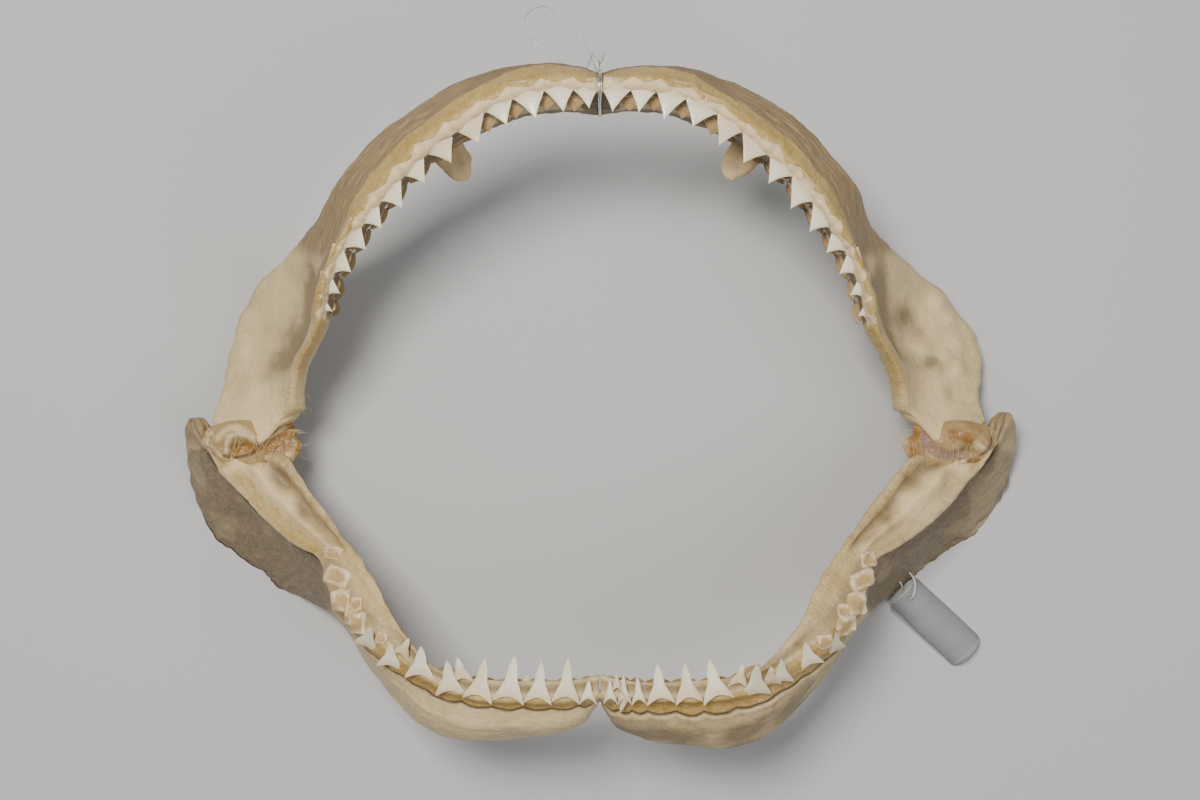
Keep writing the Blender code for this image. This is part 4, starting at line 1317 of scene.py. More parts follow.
@dataclass
class ToothRow:
    """The teeth of a half jaw: the standing row and the rows that lie behind it."""

    half: HalfJaw
    form: ToothForm
    pitches: Sequence[float]
    crowns: Sequence[float]
    seat: Pair
    lean: Pair
    rng_seed: int
    # worn also darkens the upper crowns as painted shade, for their inward tilt away from the light
    worn: float = 0.0      # added to the tone of its teeth
    rows_behind: tuple[tuple[Pair, Pair, float], ...] = ()     # seat, lean and size of each
    hidden_crown: float = 0.0      # height of the crowns behind, or 0 for that of the standing ones
    hidden_share: float = 0.94     # of the pitch, for the width of the teeth behind
    hidden_end: float = math.inf   # how far along the gum the rows behind go

    @property
    def middles(self) -> Array:
        """Where each tooth stands along the gum line."""
        return FIRST_TOOTH + np.cumsum(self.pitches) - np.array(self.pitches) / 2

    def spot(self, run: float, seat: Pair, lean: Pair) -> tuple[Array, Array, Array, Array]:
        """The base point, and the up, across and outward directions, of a tooth."""
        base, out, _ = self.half.stations()
        places, lengths = self.half.gum_line()
        v = np.interp([run, run + 1.0], lengths, places)
        foot, turn = spline(base, v), spline(out, v)
        line = self.half.placed(foot, turn, np.zeros((2, 2)))
        ends = self.half.placed(np.repeat(foot[:1], 2, 0), np.repeat(turn[:1], 2, 0),
                                np.array([seat, np.add(seat, lean)]))
        up = unit(ends[1] - ends[0])
        facing = unit(np.cross(line[1] - line[0], up))
        facing = facing if facing[2] + 0.2 * (facing @ (ends[0] - ends[1])) > 0 else -facing
        across = unit(np.cross(up, facing))
        across = across if across @ (line[1] - line[0]) > 0 else -across
        return ends[0], up, across, facing

    def add_tooth(self, batch: MeshBatch, run: float, seat: Pair, lean: Pair, width: float, height: float,
                  distal: float, tone: float, rows: int = 44, columns: int = 14, bend: float = 0.6,
                  side_lean: float = 0, shade_and_dulling: float = 0) -> None:
        """Adds one tooth.

        Args:
            batch: The mesh that it joins.
            run: Where it stands along the gum line.
            seat: Its base in the section there.
            lean: The way it points in the section.
            width: Its share of the gum.
            height: Its crown.
            distal: How far its tip lies towards the hinge.
            tone: From -1, fresh, to 1, worn.
            rows: Steps from root to tip.
            columns: Steps across.
            bend: How far its tip turns outwards.
            side_lean: How far the whole tooth turns about its base, in radians.
            shade_and_dulling: How far its crown has the colour of its root, from 0 to 1: dulling, and
                painted shade on teeth that lie in shadow.
        """
        foot, up, across, facing = self.spot(run, seat, lean)
        turned = up * math.cos(side_lean) + across * math.sin(side_lean)
        across = across * math.cos(side_lean) - up * math.sin(side_lean)
        x, rises, thick, relative, edge = self.form.grid(width, height, rows, columns, bend)
        x = x + distal * np.clip(relative, 0, 1) ** 1.4
        grid = foot + x[..., None] * across + rises[..., None] * turned + thick[..., None] * facing
        batch.add(grid, cap=Cap.STRIP, height=relative * (1.0 - 0.92 * shade_and_dulling) - 0.45 * shade_and_dulling, edge=edge,
                  tone=tone, run=x + run, girth=rises)

    def mesh(self, batch: MeshBatch) -> None:
        """Adds all the teeth to a batch."""
        self.standing(batch)
        self.behind(batch)

    def tips(self, batch: MeshBatch, rng: np.random.Generator) -> None:
        """Adds the tips that show between the standing teeth, where there are any."""

    def behind(self, batch: MeshBatch) -> None:
        """Adds the rows that lie on the inner face of the jaw."""
        rng = np.random.default_rng(self.rng_seed + 100)
        self.tips(batch, rng)
        for seat, lean, size in self.rows_behind:
            for run, width, height in zip(self.middles, self.pitches, self.crowns):
                if run > self.hidden_end:
                    continue
                shift = rng.uniform(-0.8, 0.8)
                # the rows behind are painted in shade by their dulling
                self.add_tooth(batch, run + shift, seat, lean, width * self.hidden_share,
                               (self.hidden_crown or height) * size, self.distal_lean(run),
                               rng.uniform(-0.4, 0.2), rows=26, columns=10, bend=0.3, shade_and_dulling=0.95)

    def standing(self, batch: MeshBatch) -> None:
        """Adds the standing teeth."""
        rng = np.random.default_rng(self.rng_seed)
        for run, width, height in zip(self.middles, self.pitches, self.crowns):
            if not height:
                continue
            self.add_tooth(batch, run, self.seat, self.lean, width * rng.uniform(0.97, 1.02), height,
                           self.distal_lean(run) + rng.uniform(-0.35, 0.35),
                           rng.uniform(-1, 0.6) + self.worn,
                           bend=rng.uniform(0.3, 0.9), side_lean=rng.uniform(-0.03, 0.03))

    def distal_lean(self, run: float) -> float:
        """How far a tip lies towards the hinge."""
        return float(np.interp(run, (0, 35, 75, 110, 190), (-1.6, -2.2, 0, 2.8, 3)))


@dataclass
class UpperTeeth(ToothRow):
    """Broad, serrated triangles, with rows folded down behind."""

    rows_behind: tuple[tuple[Pair, Pair, float], ...] = (
        ((-1.4, -9.5), (0.02, -1), 0.9),
        ((-1.8, -17.5), (0.14, -1), 0.84),
        ((-1.4, -25), (0.3, -1), 0.74),
    )
    second_row: int = 4            # how many gaps next to the symphysis show a tooth behind them
    tip_seat: Pair = (-1, -8)
    tip_width: float = 15.5
    tip_height: float = 7.4

    def tips(self, batch: MeshBatch, rng: np.random.Generator) -> None:
        """Adds the tips that show between the first standing teeth."""
        for run in FIRST_TOOTH + np.cumsum(self.pitches)[:self.second_row]:
            # the tips behind the gaps are painted in shade by their dulling
            self.add_tooth(batch, run + rng.uniform(-0.6, 0.6), self.tip_seat, self.lean, self.tip_width,
                           self.tip_height + rng.uniform(-0.5, 0.5), 0, 0, rows=30, columns=12, bend=-0.9,
                           shade_and_dulling=0.97)


class LooseTooth(NamedTuple):
    """A tooth out of line: second-row tips, and one that lies loose on the gum."""

    run: float
    seat: Pair
    lean: Pair
    width: float
    height: float
    turn: float = 0.0


class PlacedTooth(NamedTuple):
    """A tooth by its place in plan: the middle of its base, its tip with the height, and its width."""

    foot: Pair
    tip: Triple
    width: float
    # dulling and painted shade of its crown, from 0 to 1
    shade_and_dulling: float = 0.0


@dataclass(frozen=True)
class Plate:
    """A worn tooth that lies flat on the tooth band: a raised rim of enamel round a hollow."""

    x: float
    y: float
    width: float
    length: float
    turn: float = 0.0
    bright: float = 2.0    # the side on which its rim is whole, as an angle from its own x axis
    cusp: float = 0.0      # height of a stub on that side
    power: float = 6       # how square its outline is
    ragged: float = 0.13   # how far its outline strays
    sunk: float = 1.6      # how far its underside lies in the skin

    def add(self, batch: MeshBatch, skin: Skin, seed: int, steps: int = 21) -> None:
        """Lays the plate on the skin and adds it to a batch."""
        a, b = np.meshgrid(*[np.linspace(-1, 1, steps)] * 2, indexing="ij")
        far = np.maximum(np.abs(a), np.abs(b))
        angle = np.arctan2(b, a)
        square = squareness(angle, self.power)
        x, y = far * square * np.cos(angle), far * square * np.sin(angle)
        layer = np.full(a.shape, float(seed))
        x = x + self.ragged * lattice(np.stack([a * 2, b * 2, layer], -1), seed)
        y = y + self.ragged * lattice(np.stack([b * 2, a * 2, layer], -1), seed + 1)
        wide, long = x * self.width / 2, y * self.length / 2
        east = self.x + wide * math.cos(self.turn) - long * math.sin(self.turn)
        north = self.y + wide * math.sin(self.turn) + long * math.cos(self.turn)
        level, normals = skin.over(east.ravel(), north.ravel())
        points = np.stack([east, north, level.reshape(east.shape)], axis=-1)
        normals = unit(normals.reshape(points.shape) + (0, 0, 0.7))
        bright = 0.45 + 0.55 * rise(np.cos(angle - self.bright), -0.5, 0.5)
        chips = 0.8 + 0.4 * lattice(np.stack([3 * x, 3 * y, 0.5 * layer], -1), seed + 2)
        rim = hump(far, 0.72, 0.25) * bright * chips
        stub = self.cusp * np.exp(-(((x - 0.6 * math.cos(self.bright)) / 0.35) ** 2)
                                  - ((y - 0.6 * math.sin(self.bright)) / 0.35) ** 2)
        height = -0.7 + 0.9 * fall(far, 0.88, 1) + 1.5 * rim + stub
        top = points + normals * height[..., None]
        bottom = points - normals * self.sunk
        shade = 0.5 * np.maximum(rim**1.1, rise(stub, 0.2, 1.2)) - 0.24
        batch.add(np.concatenate([top, bottom[:, ::-1]], axis=1), edge=0.2,
                  height=np.concatenate([shade, shade], axis=1))


@dataclass
class LowerTeeth(ToothRow):
    """Slender cusps on broad bases; towards the hinge they lie low on the outer slope."""

    rows_behind: tuple[tuple[Pair, Pair, float], ...] = (
        ((-6.2, -9), (0.06, -1), 0.75),
        ((-6.4, -15), (0.14, -1), 0.75),
        ((-5.2, -23), (0.3, -1), 0.65),
    )
    hidden_crown: float = 16.0
    hidden_share: float = 0.9
    hidden_end: float = 80.0
    extras: tuple[LooseTooth, ...] = ()
    placed: tuple[PlacedTooth, ...] = ()
    plates: tuple[Plate, ...] = ()
    foot_lift: float = 0.8         # of a placed tooth's base over the gum
    clear: float = 1.2             # of its middle line over the gum

    def mesh(self, batch: MeshBatch) -> None:
        """Adds all the teeth to a batch, and the worn ones on the skin."""
        super().mesh(batch)
        self.odd_ones(batch)
        self.side_ones(batch)
        for seed, plate in enumerate(self.plates, PLATE_SEED):
            plate.add(batch, self.half.skin, seed)

    def distal_lean(self, run: float) -> float:
        """Lower cusps lean a little towards the hinge."""
        return 0.8 * float(rise(np.array(run), 40, 130))

    def odd_ones(self, batch: MeshBatch) -> None:
        """Adds the teeth that stand out of line."""
        for tooth in self.extras:
            self.add_tooth(batch, tooth.run, tooth.seat, tooth.lean, tooth.width, tooth.height, 0, 0.9,
                           side_lean=tooth.turn)

    def side_ones(self, batch: MeshBatch) -> None:
        """Adds the teeth that are known by their places in plan."""
        rng = np.random.default_rng(self.rng_seed + 50)
        steps = np.linspace(0, 1, 9)
        for tooth in self.placed:
            foot, tip = np.array(tooth.foot), np.array(tooth.tip)
            line = foot + (tip[:2] - foot) * steps[:, None]
            heights, normals = self.half.skin.over(line[:, 0], line[:, 1])
            low = heights[0] + self.foot_lift
            top = max(float(np.max((heights + self.clear - low)[2:] / steps[2:])) + low, float(tip[2]))
            start, end = np.array((*foot, low)), np.array((*tip[:2], top))
            up = unit(end - start)
            facing = np.array((0, 0, 1)) + 0.3 * normals[0]
            facing = unit(facing - (facing @ up) * up)
            x, rises, thick, relative, edge = self.form.grid(
                tooth.width, float(np.linalg.norm(end - start)), 44, 14, rng.uniform(0.3, 0.8))
            grid = start + x[..., None] * np.cross(up, facing) + rises[..., None] * up
            grid = grid + thick[..., None] * facing
            height = relative * (1.0 - 0.7 * tooth.shade_and_dulling) - 0.42 * tooth.shade_and_dulling
            batch.add(grid, cap=Cap.STRIP, height=height, edge=edge, tone=rng.uniform(-1, 0.3), run=x,
                      girth=rises)


# ---- the two sides as they are


# The right upper flange is lumpy and gnawed; the lower mounds lie on the shelf next to the hinge.
UPPER_MOUNDS: dict[Side, tuple[Mound, ...]] = {
    Side.LEFT: (
        Mound(-166, 25, 8, -2.4), Mound(-176, 16, 6, -1.2), Mound(-172, -3, 7, 1.8),
        Mound(-160, -4, 5, 1.4), Mound(-183, 3, 5, 1.3), Mound(-166, 8, 5, 1.4),
        Mound(-186, 42, 8, 1.6), Mound(-178, 58, 7, 1.2), Mound(-190, 24, 4, 1.4),
        Mound(-194, 8, 3.5, 1.4), Mound(-187, 34, 3.5, -1),
    ),
    Side.RIGHT: (
        Mound(180, 53, 6, 3.2), Mound(186, 42, 5, 2.6), Mound(189, 30, 5.5, 3),
        Mound(190, 17, 5, 2.4), Mound(178, 40, 4.5, 1.8), Mound(183, 24, 4, 2),
        Mound(166, 44, 9, -2.6), Mound(162, 30, 5, -1.4), Mound(171, 28, 4, 1.6),
        Mound(160, 14, 9, 1.5), Mound(172, 8, 7, -1.2),
    ),
}
# Darker and paler patches of the upper halves: partly real stains, partly painted shade in the hollows and
# the groove and painted light on the lumps.
UPPER_STAINS_LIGHT_AND_SHADE: dict[Side, tuple[Patch, ...]] = {
    Side.LEFT: (
        Patch(-147.5, 57, 4.5, dusk=1, slant=4), Patch(-157, 31, 7.5, dusk=0.9, slant=1.2),
        Patch(-167, 20, 7, dusk=0.9), Patch(-175, 11, 5, dusk=0.4),
        Patch(-169, 52, 9, lift=0.6, slant=1.6), Patch(-184, 28, 6, lift=0.6, slant=2.6),
        Patch(-171, -3, 12, lift=0.9, slant=1.3), Patch(-155, 10, 4, lift=0.6, slant=2),
        Patch(-192, 6, 5, dusk=0.35, slant=2), Patch(-173.5, -17, 6.5, lift=0.9, slant=1.2),
    ),
    Side.RIGHT: (
        Patch(143.5, 62, 5, dusk=1.1, slant=3.4), Patch(159, 44, 8, dusk=1, slant=0.9),
        Patch(168, 34, 6, dusk=0.6), Patch(173, 19, 7, dusk=0.8, slant=0.7),
        Patch(183, 2, 4, dusk=0.7, slant=1.6), Patch(176, 51, 5, lift=0.9),
        Patch(183, 43, 5.5, lift=0.9), Patch(190, 28, 5.5, lift=0.8), Patch(188, 15, 4.5, lift=0.8),
        Patch(166, -1, 14, lift=1, slant=1.1), Patch(160, 30, 6, lift=0.5, slant=0.5),
        Patch(178, -14, 7, lift=0.7, slant=1.2),
    ),
}
LOWER_MOUNDS: dict[Side, tuple[Mound, ...]] = {
    Side.LEFT: (
        Mound(-191, -36, 6, 2.2), Mound(-174, -33.5, 7, 2.2), Mound(-165.5, -32.5, 4.5, 1.5),
        Mound(-182, -35, 4, -1.8), Mound(-162.5, -44, 5, -1.5), Mound(-208, -13, 5, 1.2),
    ),
    Side.RIGHT: (
        Mound(175, -40, 5.5, 2), Mound(167, -49, 7, 1.5), Mound(187.5, -34.5, 4.5, 2.4),
        Mound(160.5, -37.5, 5, -1.5), Mound(180, -45, 5, -1.2), Mound(205, -10, 4.5, 1.4),
    ),
}
# Darker and paler patches of the lower halves: partly real stains, partly painted shade in the hollows and
# painted light on the lumps.
LOWER_STAINS_LIGHT_AND_SHADE: dict[Side, tuple[Patch, ...]] = {
    Side.LEFT: (
        Patch(-191.5, -35, 5, lift=0.9), Patch(-175, -32, 5.5, lift=0.8),
        Patch(-161, -51, 6, lift=0.6), Patch(-182.5, -33.5, 3.2, dusk=0.8),
        Patch(-163.5, -39, 4, dusk=0.9, slant=1.8), Patch(-153, -58, 3.5, dusk=0.7, slant=1.4),
    ),
    Side.RIGHT: (
        Patch(159.5, -52, 7, lift=1), Patch(188, -35, 4.5, lift=1), Patch(170, -42, 5, lift=0.6),
        Patch(173.5, -33.5, 5, dusk=0.6), Patch(157, -42.5, 3, dusk=1, slant=2.2),
        Patch(147.5, -63, 3, dusk=0.9, slant=1.6), Patch(163, -33, 4, dusk=0.5),
    ),
}
# How grey the chin is, and how golden the shelf.
LOWER_TONES: dict[Side, Pair] = {Side.LEFT: (0.3, 0.62), Side.RIGHT: (1.15, 0.22)}
UPPER_PITCH: dict[Side, tuple[float, ...]] = {
    Side.LEFT: (10.8, 14.5, 15.7, 14.8, 17.4, 17.4, 15.6, 16.6, 14.4, 15.3, 15.2, 12.6, 9.4),
    Side.RIGHT: (12.7, 13.1, 14.5, 16.6, 14.6, 16.8, 15.2, 16.5, 16, 14.5, 14, 13, 12),
}
UPPER_CROWN: dict[Side, tuple[float, ...]] = {
    Side.LEFT: (11.5, 14, 15, 13.5, 15, 14.5, 13.5, 13.5, 12, 11.5, 10.5, 9, 7),
    Side.RIGHT: (13, 14.5, 15.5, 13.5, 15, 14.5, 13.5, 13.5, 13, 11.5, 10.5, 9, 7),
}
LOWER_PITCH: dict[Side, tuple[float, ...]] = {
    Side.LEFT: (8.5, 13.2, 13.4, 15, 14.8, 17, 14.5, 7, 12.5, 12.5, 11.5),
    Side.RIGHT: (7, 6.5, 7.5, 13.5, 13.5, 15, 20, 13, 13, 5.5, 11),
}
LOWER_CROWN: dict[Side, tuple[float, ...]] = {       # 0 where LOWER_PLACED has the tooth
    Side.LEFT: (10.5, 22, 20.5, 23, 21, 0, 0, 0, 0, 0, 0),
    Side.RIGHT: (10.5, 14, 13, 19, 20, 21, 0, 0, 0, 0, 0),
}
LOWER_EXTRAS: dict[Side, tuple[LooseTooth, ...]] = {
    Side.LEFT: (LooseTooth(36, (-7, -2), (-1, 0.2), 9, 5),),
    Side.RIGHT: (LooseTooth(8, (-4, -0.5), (-1, 0.2), 6, 10),
                 LooseTooth(13, (-3.5, 2.2), (1, -0.5), 8, 12, -0.35)),
}
LOWER_PLACED: dict[Side, tuple[PlacedTooth, ...]] = {
    Side.LEFT: (PlacedTooth((-72.2, -142.3), (-73.3, -124.6, 115), 14.7),
                PlacedTooth((-87.3, -134.9), (-86.1, -118.6, 110), 15.4),
                PlacedTooth((-102.6, -130.6), (-101.4, -118.4, 104), 14.3),
                PlacedTooth((-115, -121.8), (-111.1, -109.7, 100), 13.9),
                PlacedTooth((-97, -124.3), (-92.3, -115.2, 106), 9.5, 0.35),
                PlacedTooth((-66.3, -135.4), (-68.5, -123.4, 113), 11, 0.35)),
    Side.RIGHT: (PlacedTooth((75.4, -143.5), (74.5, -125.4, 115), 15.5),
                 PlacedTooth((88.5, -137.3), (87, -124.2, 110), 11.8),
                 PlacedTooth((103.1, -129.9), (99, -117.2, 104), 13.5),
                 PlacedTooth((117.3, -124.6), (114.5, -112.6, 100), 10.5),
                 PlacedTooth((82.9, -137.7), (82.2, -127.9, 109), 11, 0.5),
                 PlacedTooth((66.7, -137.4), (68.7, -126.1, 113), 10, 0.35)),
}
# Worn teeth that lie flat on the band towards the hinge.
LOWER_PLATES: dict[Side, tuple[Plate, ...]] = {
    Side.LEFT: (Plate(-134.9, -77.4, 10, 6.6, -0.1, 1.6, 0.5),
                Plate(-132, -88.4, 14, 10.5, -0.3, 1, 0.8),
                Plate(-129, -99.8, 10.5, 11.5, 0.1, 1.9), Plate(-120.9, -101.3, 6.5, 7.5, 0.1, 0.2),
                Plate(-119.8, -110.6, 9.6, 11.6, 0.1, 0, 0.5), Plate(-107.3, -116.4, 6.8, 6, -0.3, 1.6),
                Plate(-124.6, -107.8, 4.2, 8.5, -0.15, 0.6, 1.2)),
    Side.RIGHT: (Plate(135.4, -80.3, 9.4, 8, 0.2, 2.6, 0.9),
                 Plate(131.4, -90.2, 13.5, 9.5, 0.3, 2, 0.8),
                 Plate(127.8, -101.2, 10.5, 12.5, 0.05, 0.6), Plate(120.3, -104.3, 6.2, 7.2, 0, 2.6),
                 Plate(121.6, -112, 11, 11.2, 0, 0.3, 0.6), Plate(110.2, -118.6, 9, 8, 0.1, 1.6)),
}
LOWER_SEAM: dict[Side, tuple[float, ...]] = {
    Side.LEFT: (3.5, 4.6, 5.6, 5.4, 5.5, 7.2, 9.7, 11),
    Side.RIGHT: (6.8, 7.8, 8, 8.5, 8, 10, 11.3, 12),
}


# ---- ligaments, wire and cords


class Ridge(NamedTuple):
    """A fold of tissue, or a furrow where its height is negative, seen from above along a path."""

    path: tuple[Pair, ...]
    width: float
    height: float
    # crest is a painted highlight along the top of a fold
    crest: float = 0.0
    amber: float = 0.0
    mauve: float = 0.0
    shade: float = 0.0


@dataclass
class Ligament:
    """Dried tissue over a hinge: a sheet with folds and hollows, frayed threads across it."""

    side: Side
    ridges: tuple[Ridge, ...]
    sheets: tuple[tuple[Triple, Triple, float], ...]          # middle, half sizes and turn of each
    threads: int = 22
    frays: int = 14
    thread_radius: Pair = (0.07, 0.17)
    steps: tuple[int, int] = (46, 150)
    under_share: float = 1.3       # depth of the underside over the dome's height

    def folds(self, points: Array) -> dict[str, Array]:
        """How the ridges raise and colour these points, which are given for the left."""
        total = {name: np.zeros(points.shape[:-1]) for name in Ridge._fields[2:]}
        for ridge in self.ridges:
            line = smooth_path([(*p, 0) for p in ridge.path], 8)[:, :2]
            away = np.linalg.norm(points[..., None, :2] - line, axis=-1).min(axis=-1)
            near = np.exp(-((away / ridge.width) ** 2))
            for name in total:
                amount = near * getattr(ridge, name)
                total[name] = total[name] + amount if name == "height" else np.maximum(total[name], amount)
        return total

    def mirrored(self, points: Array) -> Array:
        """Points given for the left, on this side."""
        moved = np.array(points, float)
        moved[..., 0] *= -self.side.value
        return moved

    def add_sheet(self, batch: MeshBatch, centre: Triple, radii: Triple, turn: float) -> None:
        """Adds a sheet: its folded face down to its rim, and its plain underside."""
        rows, columns = self.steps
        far = np.sin(np.linspace(0, math.pi / 2, rows + 1)[1:])[:, None]
        angle = np.linspace(0, math.tau, columns, endpoint=False)[None]
        circle = np.stack([np.cos(angle), np.sin(angle), 0 * angle], axis=-1)
        ragged = 1.0 + 0.1 * grain(circle, 0.5, 3, 160)
        x = radii[0] * far * np.cos(angle) * ragged
        y = radii[1] * far * np.sin(angle) * ragged
        spin = math.radians(turn)
        dome = radii[2] * (1.0 - far**3.0) + 0.0 * angle
        flat = np.stack([centre[0] + x * math.cos(spin) + y * math.sin(spin),
                         centre[1] + y * math.cos(spin) - x * math.sin(spin), centre[2] + dome], axis=-1)
        fold = self.folds(flat)
        fade = fall(np.broadcast_to(far, dome.shape), 0.86, 1)
        lumps = grain(flat, 5, 3, 120 + self.side.value) * 0.8 + grain(flat, 1.6, 2, 130) * 0.25
        top = flat.copy()
        top[..., 2] += (fold.pop("height") + lumps) * fade
        under = flat.copy()
        under[..., 2] = centre[2] - dome * self.under_share
        grid = np.concatenate([top, under[-2::-1]])
        values = {name: np.concatenate([value, value[-2::-1]]) for name, value in fold.items()}
        batch.add(self.mirrored(grid), run=grid[..., 1], girth=grid[..., 0] * 0.7, **values)

    def add_threads(self, batch: MeshBatch) -> None:
        """Adds fine threads that cross the hinge, and a few that stand out frayed."""
        rng = np.random.default_rng(17 + self.side.value)
        for _ in range(self.threads):
            t = rng.uniform(-0.85, 0.85)
            start = np.array((self.sheets[0][0][0] + 26.0 * t, -17.0 - 4.0 * t + rng.normal(0, 1.5), 45.5))
            end = start + (rng.normal(-1, 3.5), rng.uniform(-16, -8), rng.normal(-0.5, 0.8))
            middle = (start + end) / 2 + (rng.normal(0, 1), 0, rng.uniform(0.8, 2.2))
            line = smooth_path((tuple(start), tuple(middle), tuple(end)), 9)
            radius = rng.uniform(*self.thread_radius)
            batch.add(sweep(self.mirrored(line), radius, 6), run=np.linspace(0, 20, len(line))[:, None],
                      amber=rng.uniform(0, 0.5), crest=0.5)
        for k in range(self.frays):
            low = k % 2
            start = np.array((-153.5 - 3.0 * low, rng.uniform(-5, 8) - 23.0 * low, 49.0 - 8.0 * low))
            start[2] += rng.uniform(-3, 2)
            end = start + (rng.uniform(1.5, 5.5), rng.uniform(-5, 3), rng.uniform(-4, 3))
            middle = (start + end) / 2 + rng.normal(0, 1.2, 3)
            line = smooth_path((tuple(start - (6, 0, 0)), tuple(start), tuple(middle), tuple(end)), 6)
            radius = rng.uniform(0.05, 0.13) * np.linspace(1.6, 0.6, len(line))
            batch.add(sweep(self.mirrored(line), radius, 6), crest=0.6)

    def make(self, material: bpy.types.Material) -> bpy.types.Object:
        """Builds the piece and hides the plain solid that it stands for."""
        batch = MeshBatch(*SinewFinish.VALUES)
        for sheet in self.sheets:
            self.add_sheet(batch, *sheet)
        self.add_threads(batch)
        word = self.side.name.lower()
        piece = batch.build(f"ligament_{word}", material)
        return settle_piece(piece, "dried_ligament", f"joint_ligament_{word}")


# Seen from above on the left; those of the right are given mirrored.
LIGAMENT_FOLDS: dict[Side, tuple[Ridge, ...]] = {
    Side.LEFT: (
        Ridge(((-198, -20), (-191, -14.4), (-184.5, -15.7), (-179.3, -20)), 2.6, 3.2, crest=1),
        Ridge(((-193.5, -27), (-191.5, -20), (-187.1, -18), (-183, -19.2)), 1.6, 1.8, crest=0.9),
        Ridge(((-203.3, -16.8), (-204.4, -21.9), (-200.8, -27.9), (-194.8, -32.3)), 2.8, 3.2, crest=1),
        Ridge(((-189, -25.2), (-185, -24.6), (-180.5, -25)), 3, -2.6, amber=1.1),
        Ridge(((-194.8, -29.2), (-188.4, -29.9), (-180.6, -27.9), (-176.8, -24.8)), 1, -1.8, shade=1),
        Ridge(((-171.5, -25), (-165, -23), (-159.5, -18), (-157, -12)), 4.8, -0.8, amber=1),
        Ridge(((-175.5, -24.5), (-167, -19), (-159, -14)), 1.4, -1.8, shade=0.8),
        Ridge(((-172, -29.5), (-165.5, -29.5), (-161, -28.5)), 2.2, 1.4, crest=0.9),
        Ridge(((-157.5, -18), (-156.5, -24), (-157.5, -29)), 1.4, 0.9, amber=1.3),
        Ridge(((-203.9, -12.5), (-206, -18.6)), 1.4, 0, amber=1),
    ),
    Side.RIGHT: (
        Ridge(((-192, -14.5), (-197, -17.5), (-200.5, -22)), 5, 3.6, amber=0.55),
        Ridge(((-191, -20.1), (-194.8, -23.7), (-200, -27)), 2.1, 2.4, crest=1.2),
        Ridge(((-182, -17.5), (-187.5, -18.8), (-190.5, -20.5)), 3.6, 1.4, amber=0.9),
        Ridge(((-158.5, -10), (-159.5, -15)), 3, 0.6, shade=0.35, amber=0.4),
        Ridge(((-168.5, -19.5), (-173, -25.8), (-180.6, -28.4), (-187, -28.2)), 3.2, -1.2, mauve=1.2),
        Ridge(((-164.5, -18.5), (-164.9, -22.6), (-165, -27)), 4.2, 0.6, amber=1.35),
        Ridge(((-188, -25.5), (-192, -26.5)), 2.2, -1.6, shade=0.6),
        Ridge(((-192, -32.5), (-196.5, -32)), 2, -1, amber=1.5),
        Ridge(((-186, -33), (-189.5, -34)), 2.8, 2.4, crest=1.2),
        Ridge(((-198, -28.5), (-201.5, -24.5), (-203.5, -19)), 1.2, -1.8, shade=0.9),
    ),
}


# Middle, half sizes and turn in degrees.
LIGAMENT_SHEETS: dict[Side, tuple[tuple[Triple, Triple, float], ...]] = {
    Side.LEFT: (((-181, -23, 41), (26, 12, 4.6), 10),
                ((-166.5, -19.5, 40.5), (7.8, 12, 3.6), 8)),
    Side.RIGHT: (((-182, -23, 41), (25, 12, 4.6), 10),
                 ((-169.6, -19.5, 40.5), (6.6, 11.6, 3.6), 8)),
}


@dataclass
class SymphysisWire:
    """Two turns of wire round the meeting of the upper halves, and their twisted end."""

    radius: float = 0.36
    clearance: float = 0.55
    spread: float = 0.42
    foot: Pair = (13.6, -11)
    aim: Triple = (0, 0.8, 1)
    twist_length: float = 6.5
    twist_radius: float = 0.42
    turns: float = 3.5
    sway: float = 0.18          # how far a turn strays sideways
    sides: int = 12

    def loop(self, shift: float) -> Array:
        """A closed turn round the section at the symphysis."""
        station = UPPER[0]
        corners = np.array(station.corners(), float)
        places = np.linspace(0, len(corners), 12 * len(corners), endpoint=False)
        ring = spline(corners, places, closed=True)
        ahead = np.roll(ring, -1, axis=0) - np.roll(ring, 1, axis=0)
        out = unit(np.stack([-ahead[:, 1], ahead[:, 0]], axis=-1))
        out = out if np.sum(out * (ring - ring.mean(axis=0))) > 0 else -out
        ring = ring + out * (self.clearance + self.radius)
        x = shift + self.sway * np.sin(np.linspace(0, math.tau * 2, len(ring), endpoint=False) + shift)
        return np.stack([x, station.y + ring[:, 0], station.z + ring[:, 1]], axis=-1)

    def make(self, material: bpy.types.Material) -> bpy.types.Object:
        """Builds the wire."""
        batch = MeshBatch()
        for shift in (-self.spread, self.spread):
            line = self.loop(shift)
            batch.add(sweep(np.concatenate([line, line[:1]]), self.radius, self.sides))
        station = UPPER[0]
        foot = np.array((0, station.y + self.foot[0], station.z + self.foot[1]))
        aim = unit(np.array(self.aim))
        across = np.array((1, 0, 0))
        beside = np.cross(aim, across)
        t = np.linspace(0, 1, 60)[:, None]
        for phase in (0, math.pi):
            angle = t * math.tau * self.turns + phase
            round_axis = np.cos(angle) * across + np.sin(angle) * beside
            line = foot + aim * (t * self.twist_length - 1) + round_axis * self.twist_radius
            batch.add(sweep(line, self.radius, self.sides))
        return settle_piece(batch.build("tie_wire_loop", material), "tie_wire", "symphysis_wire")


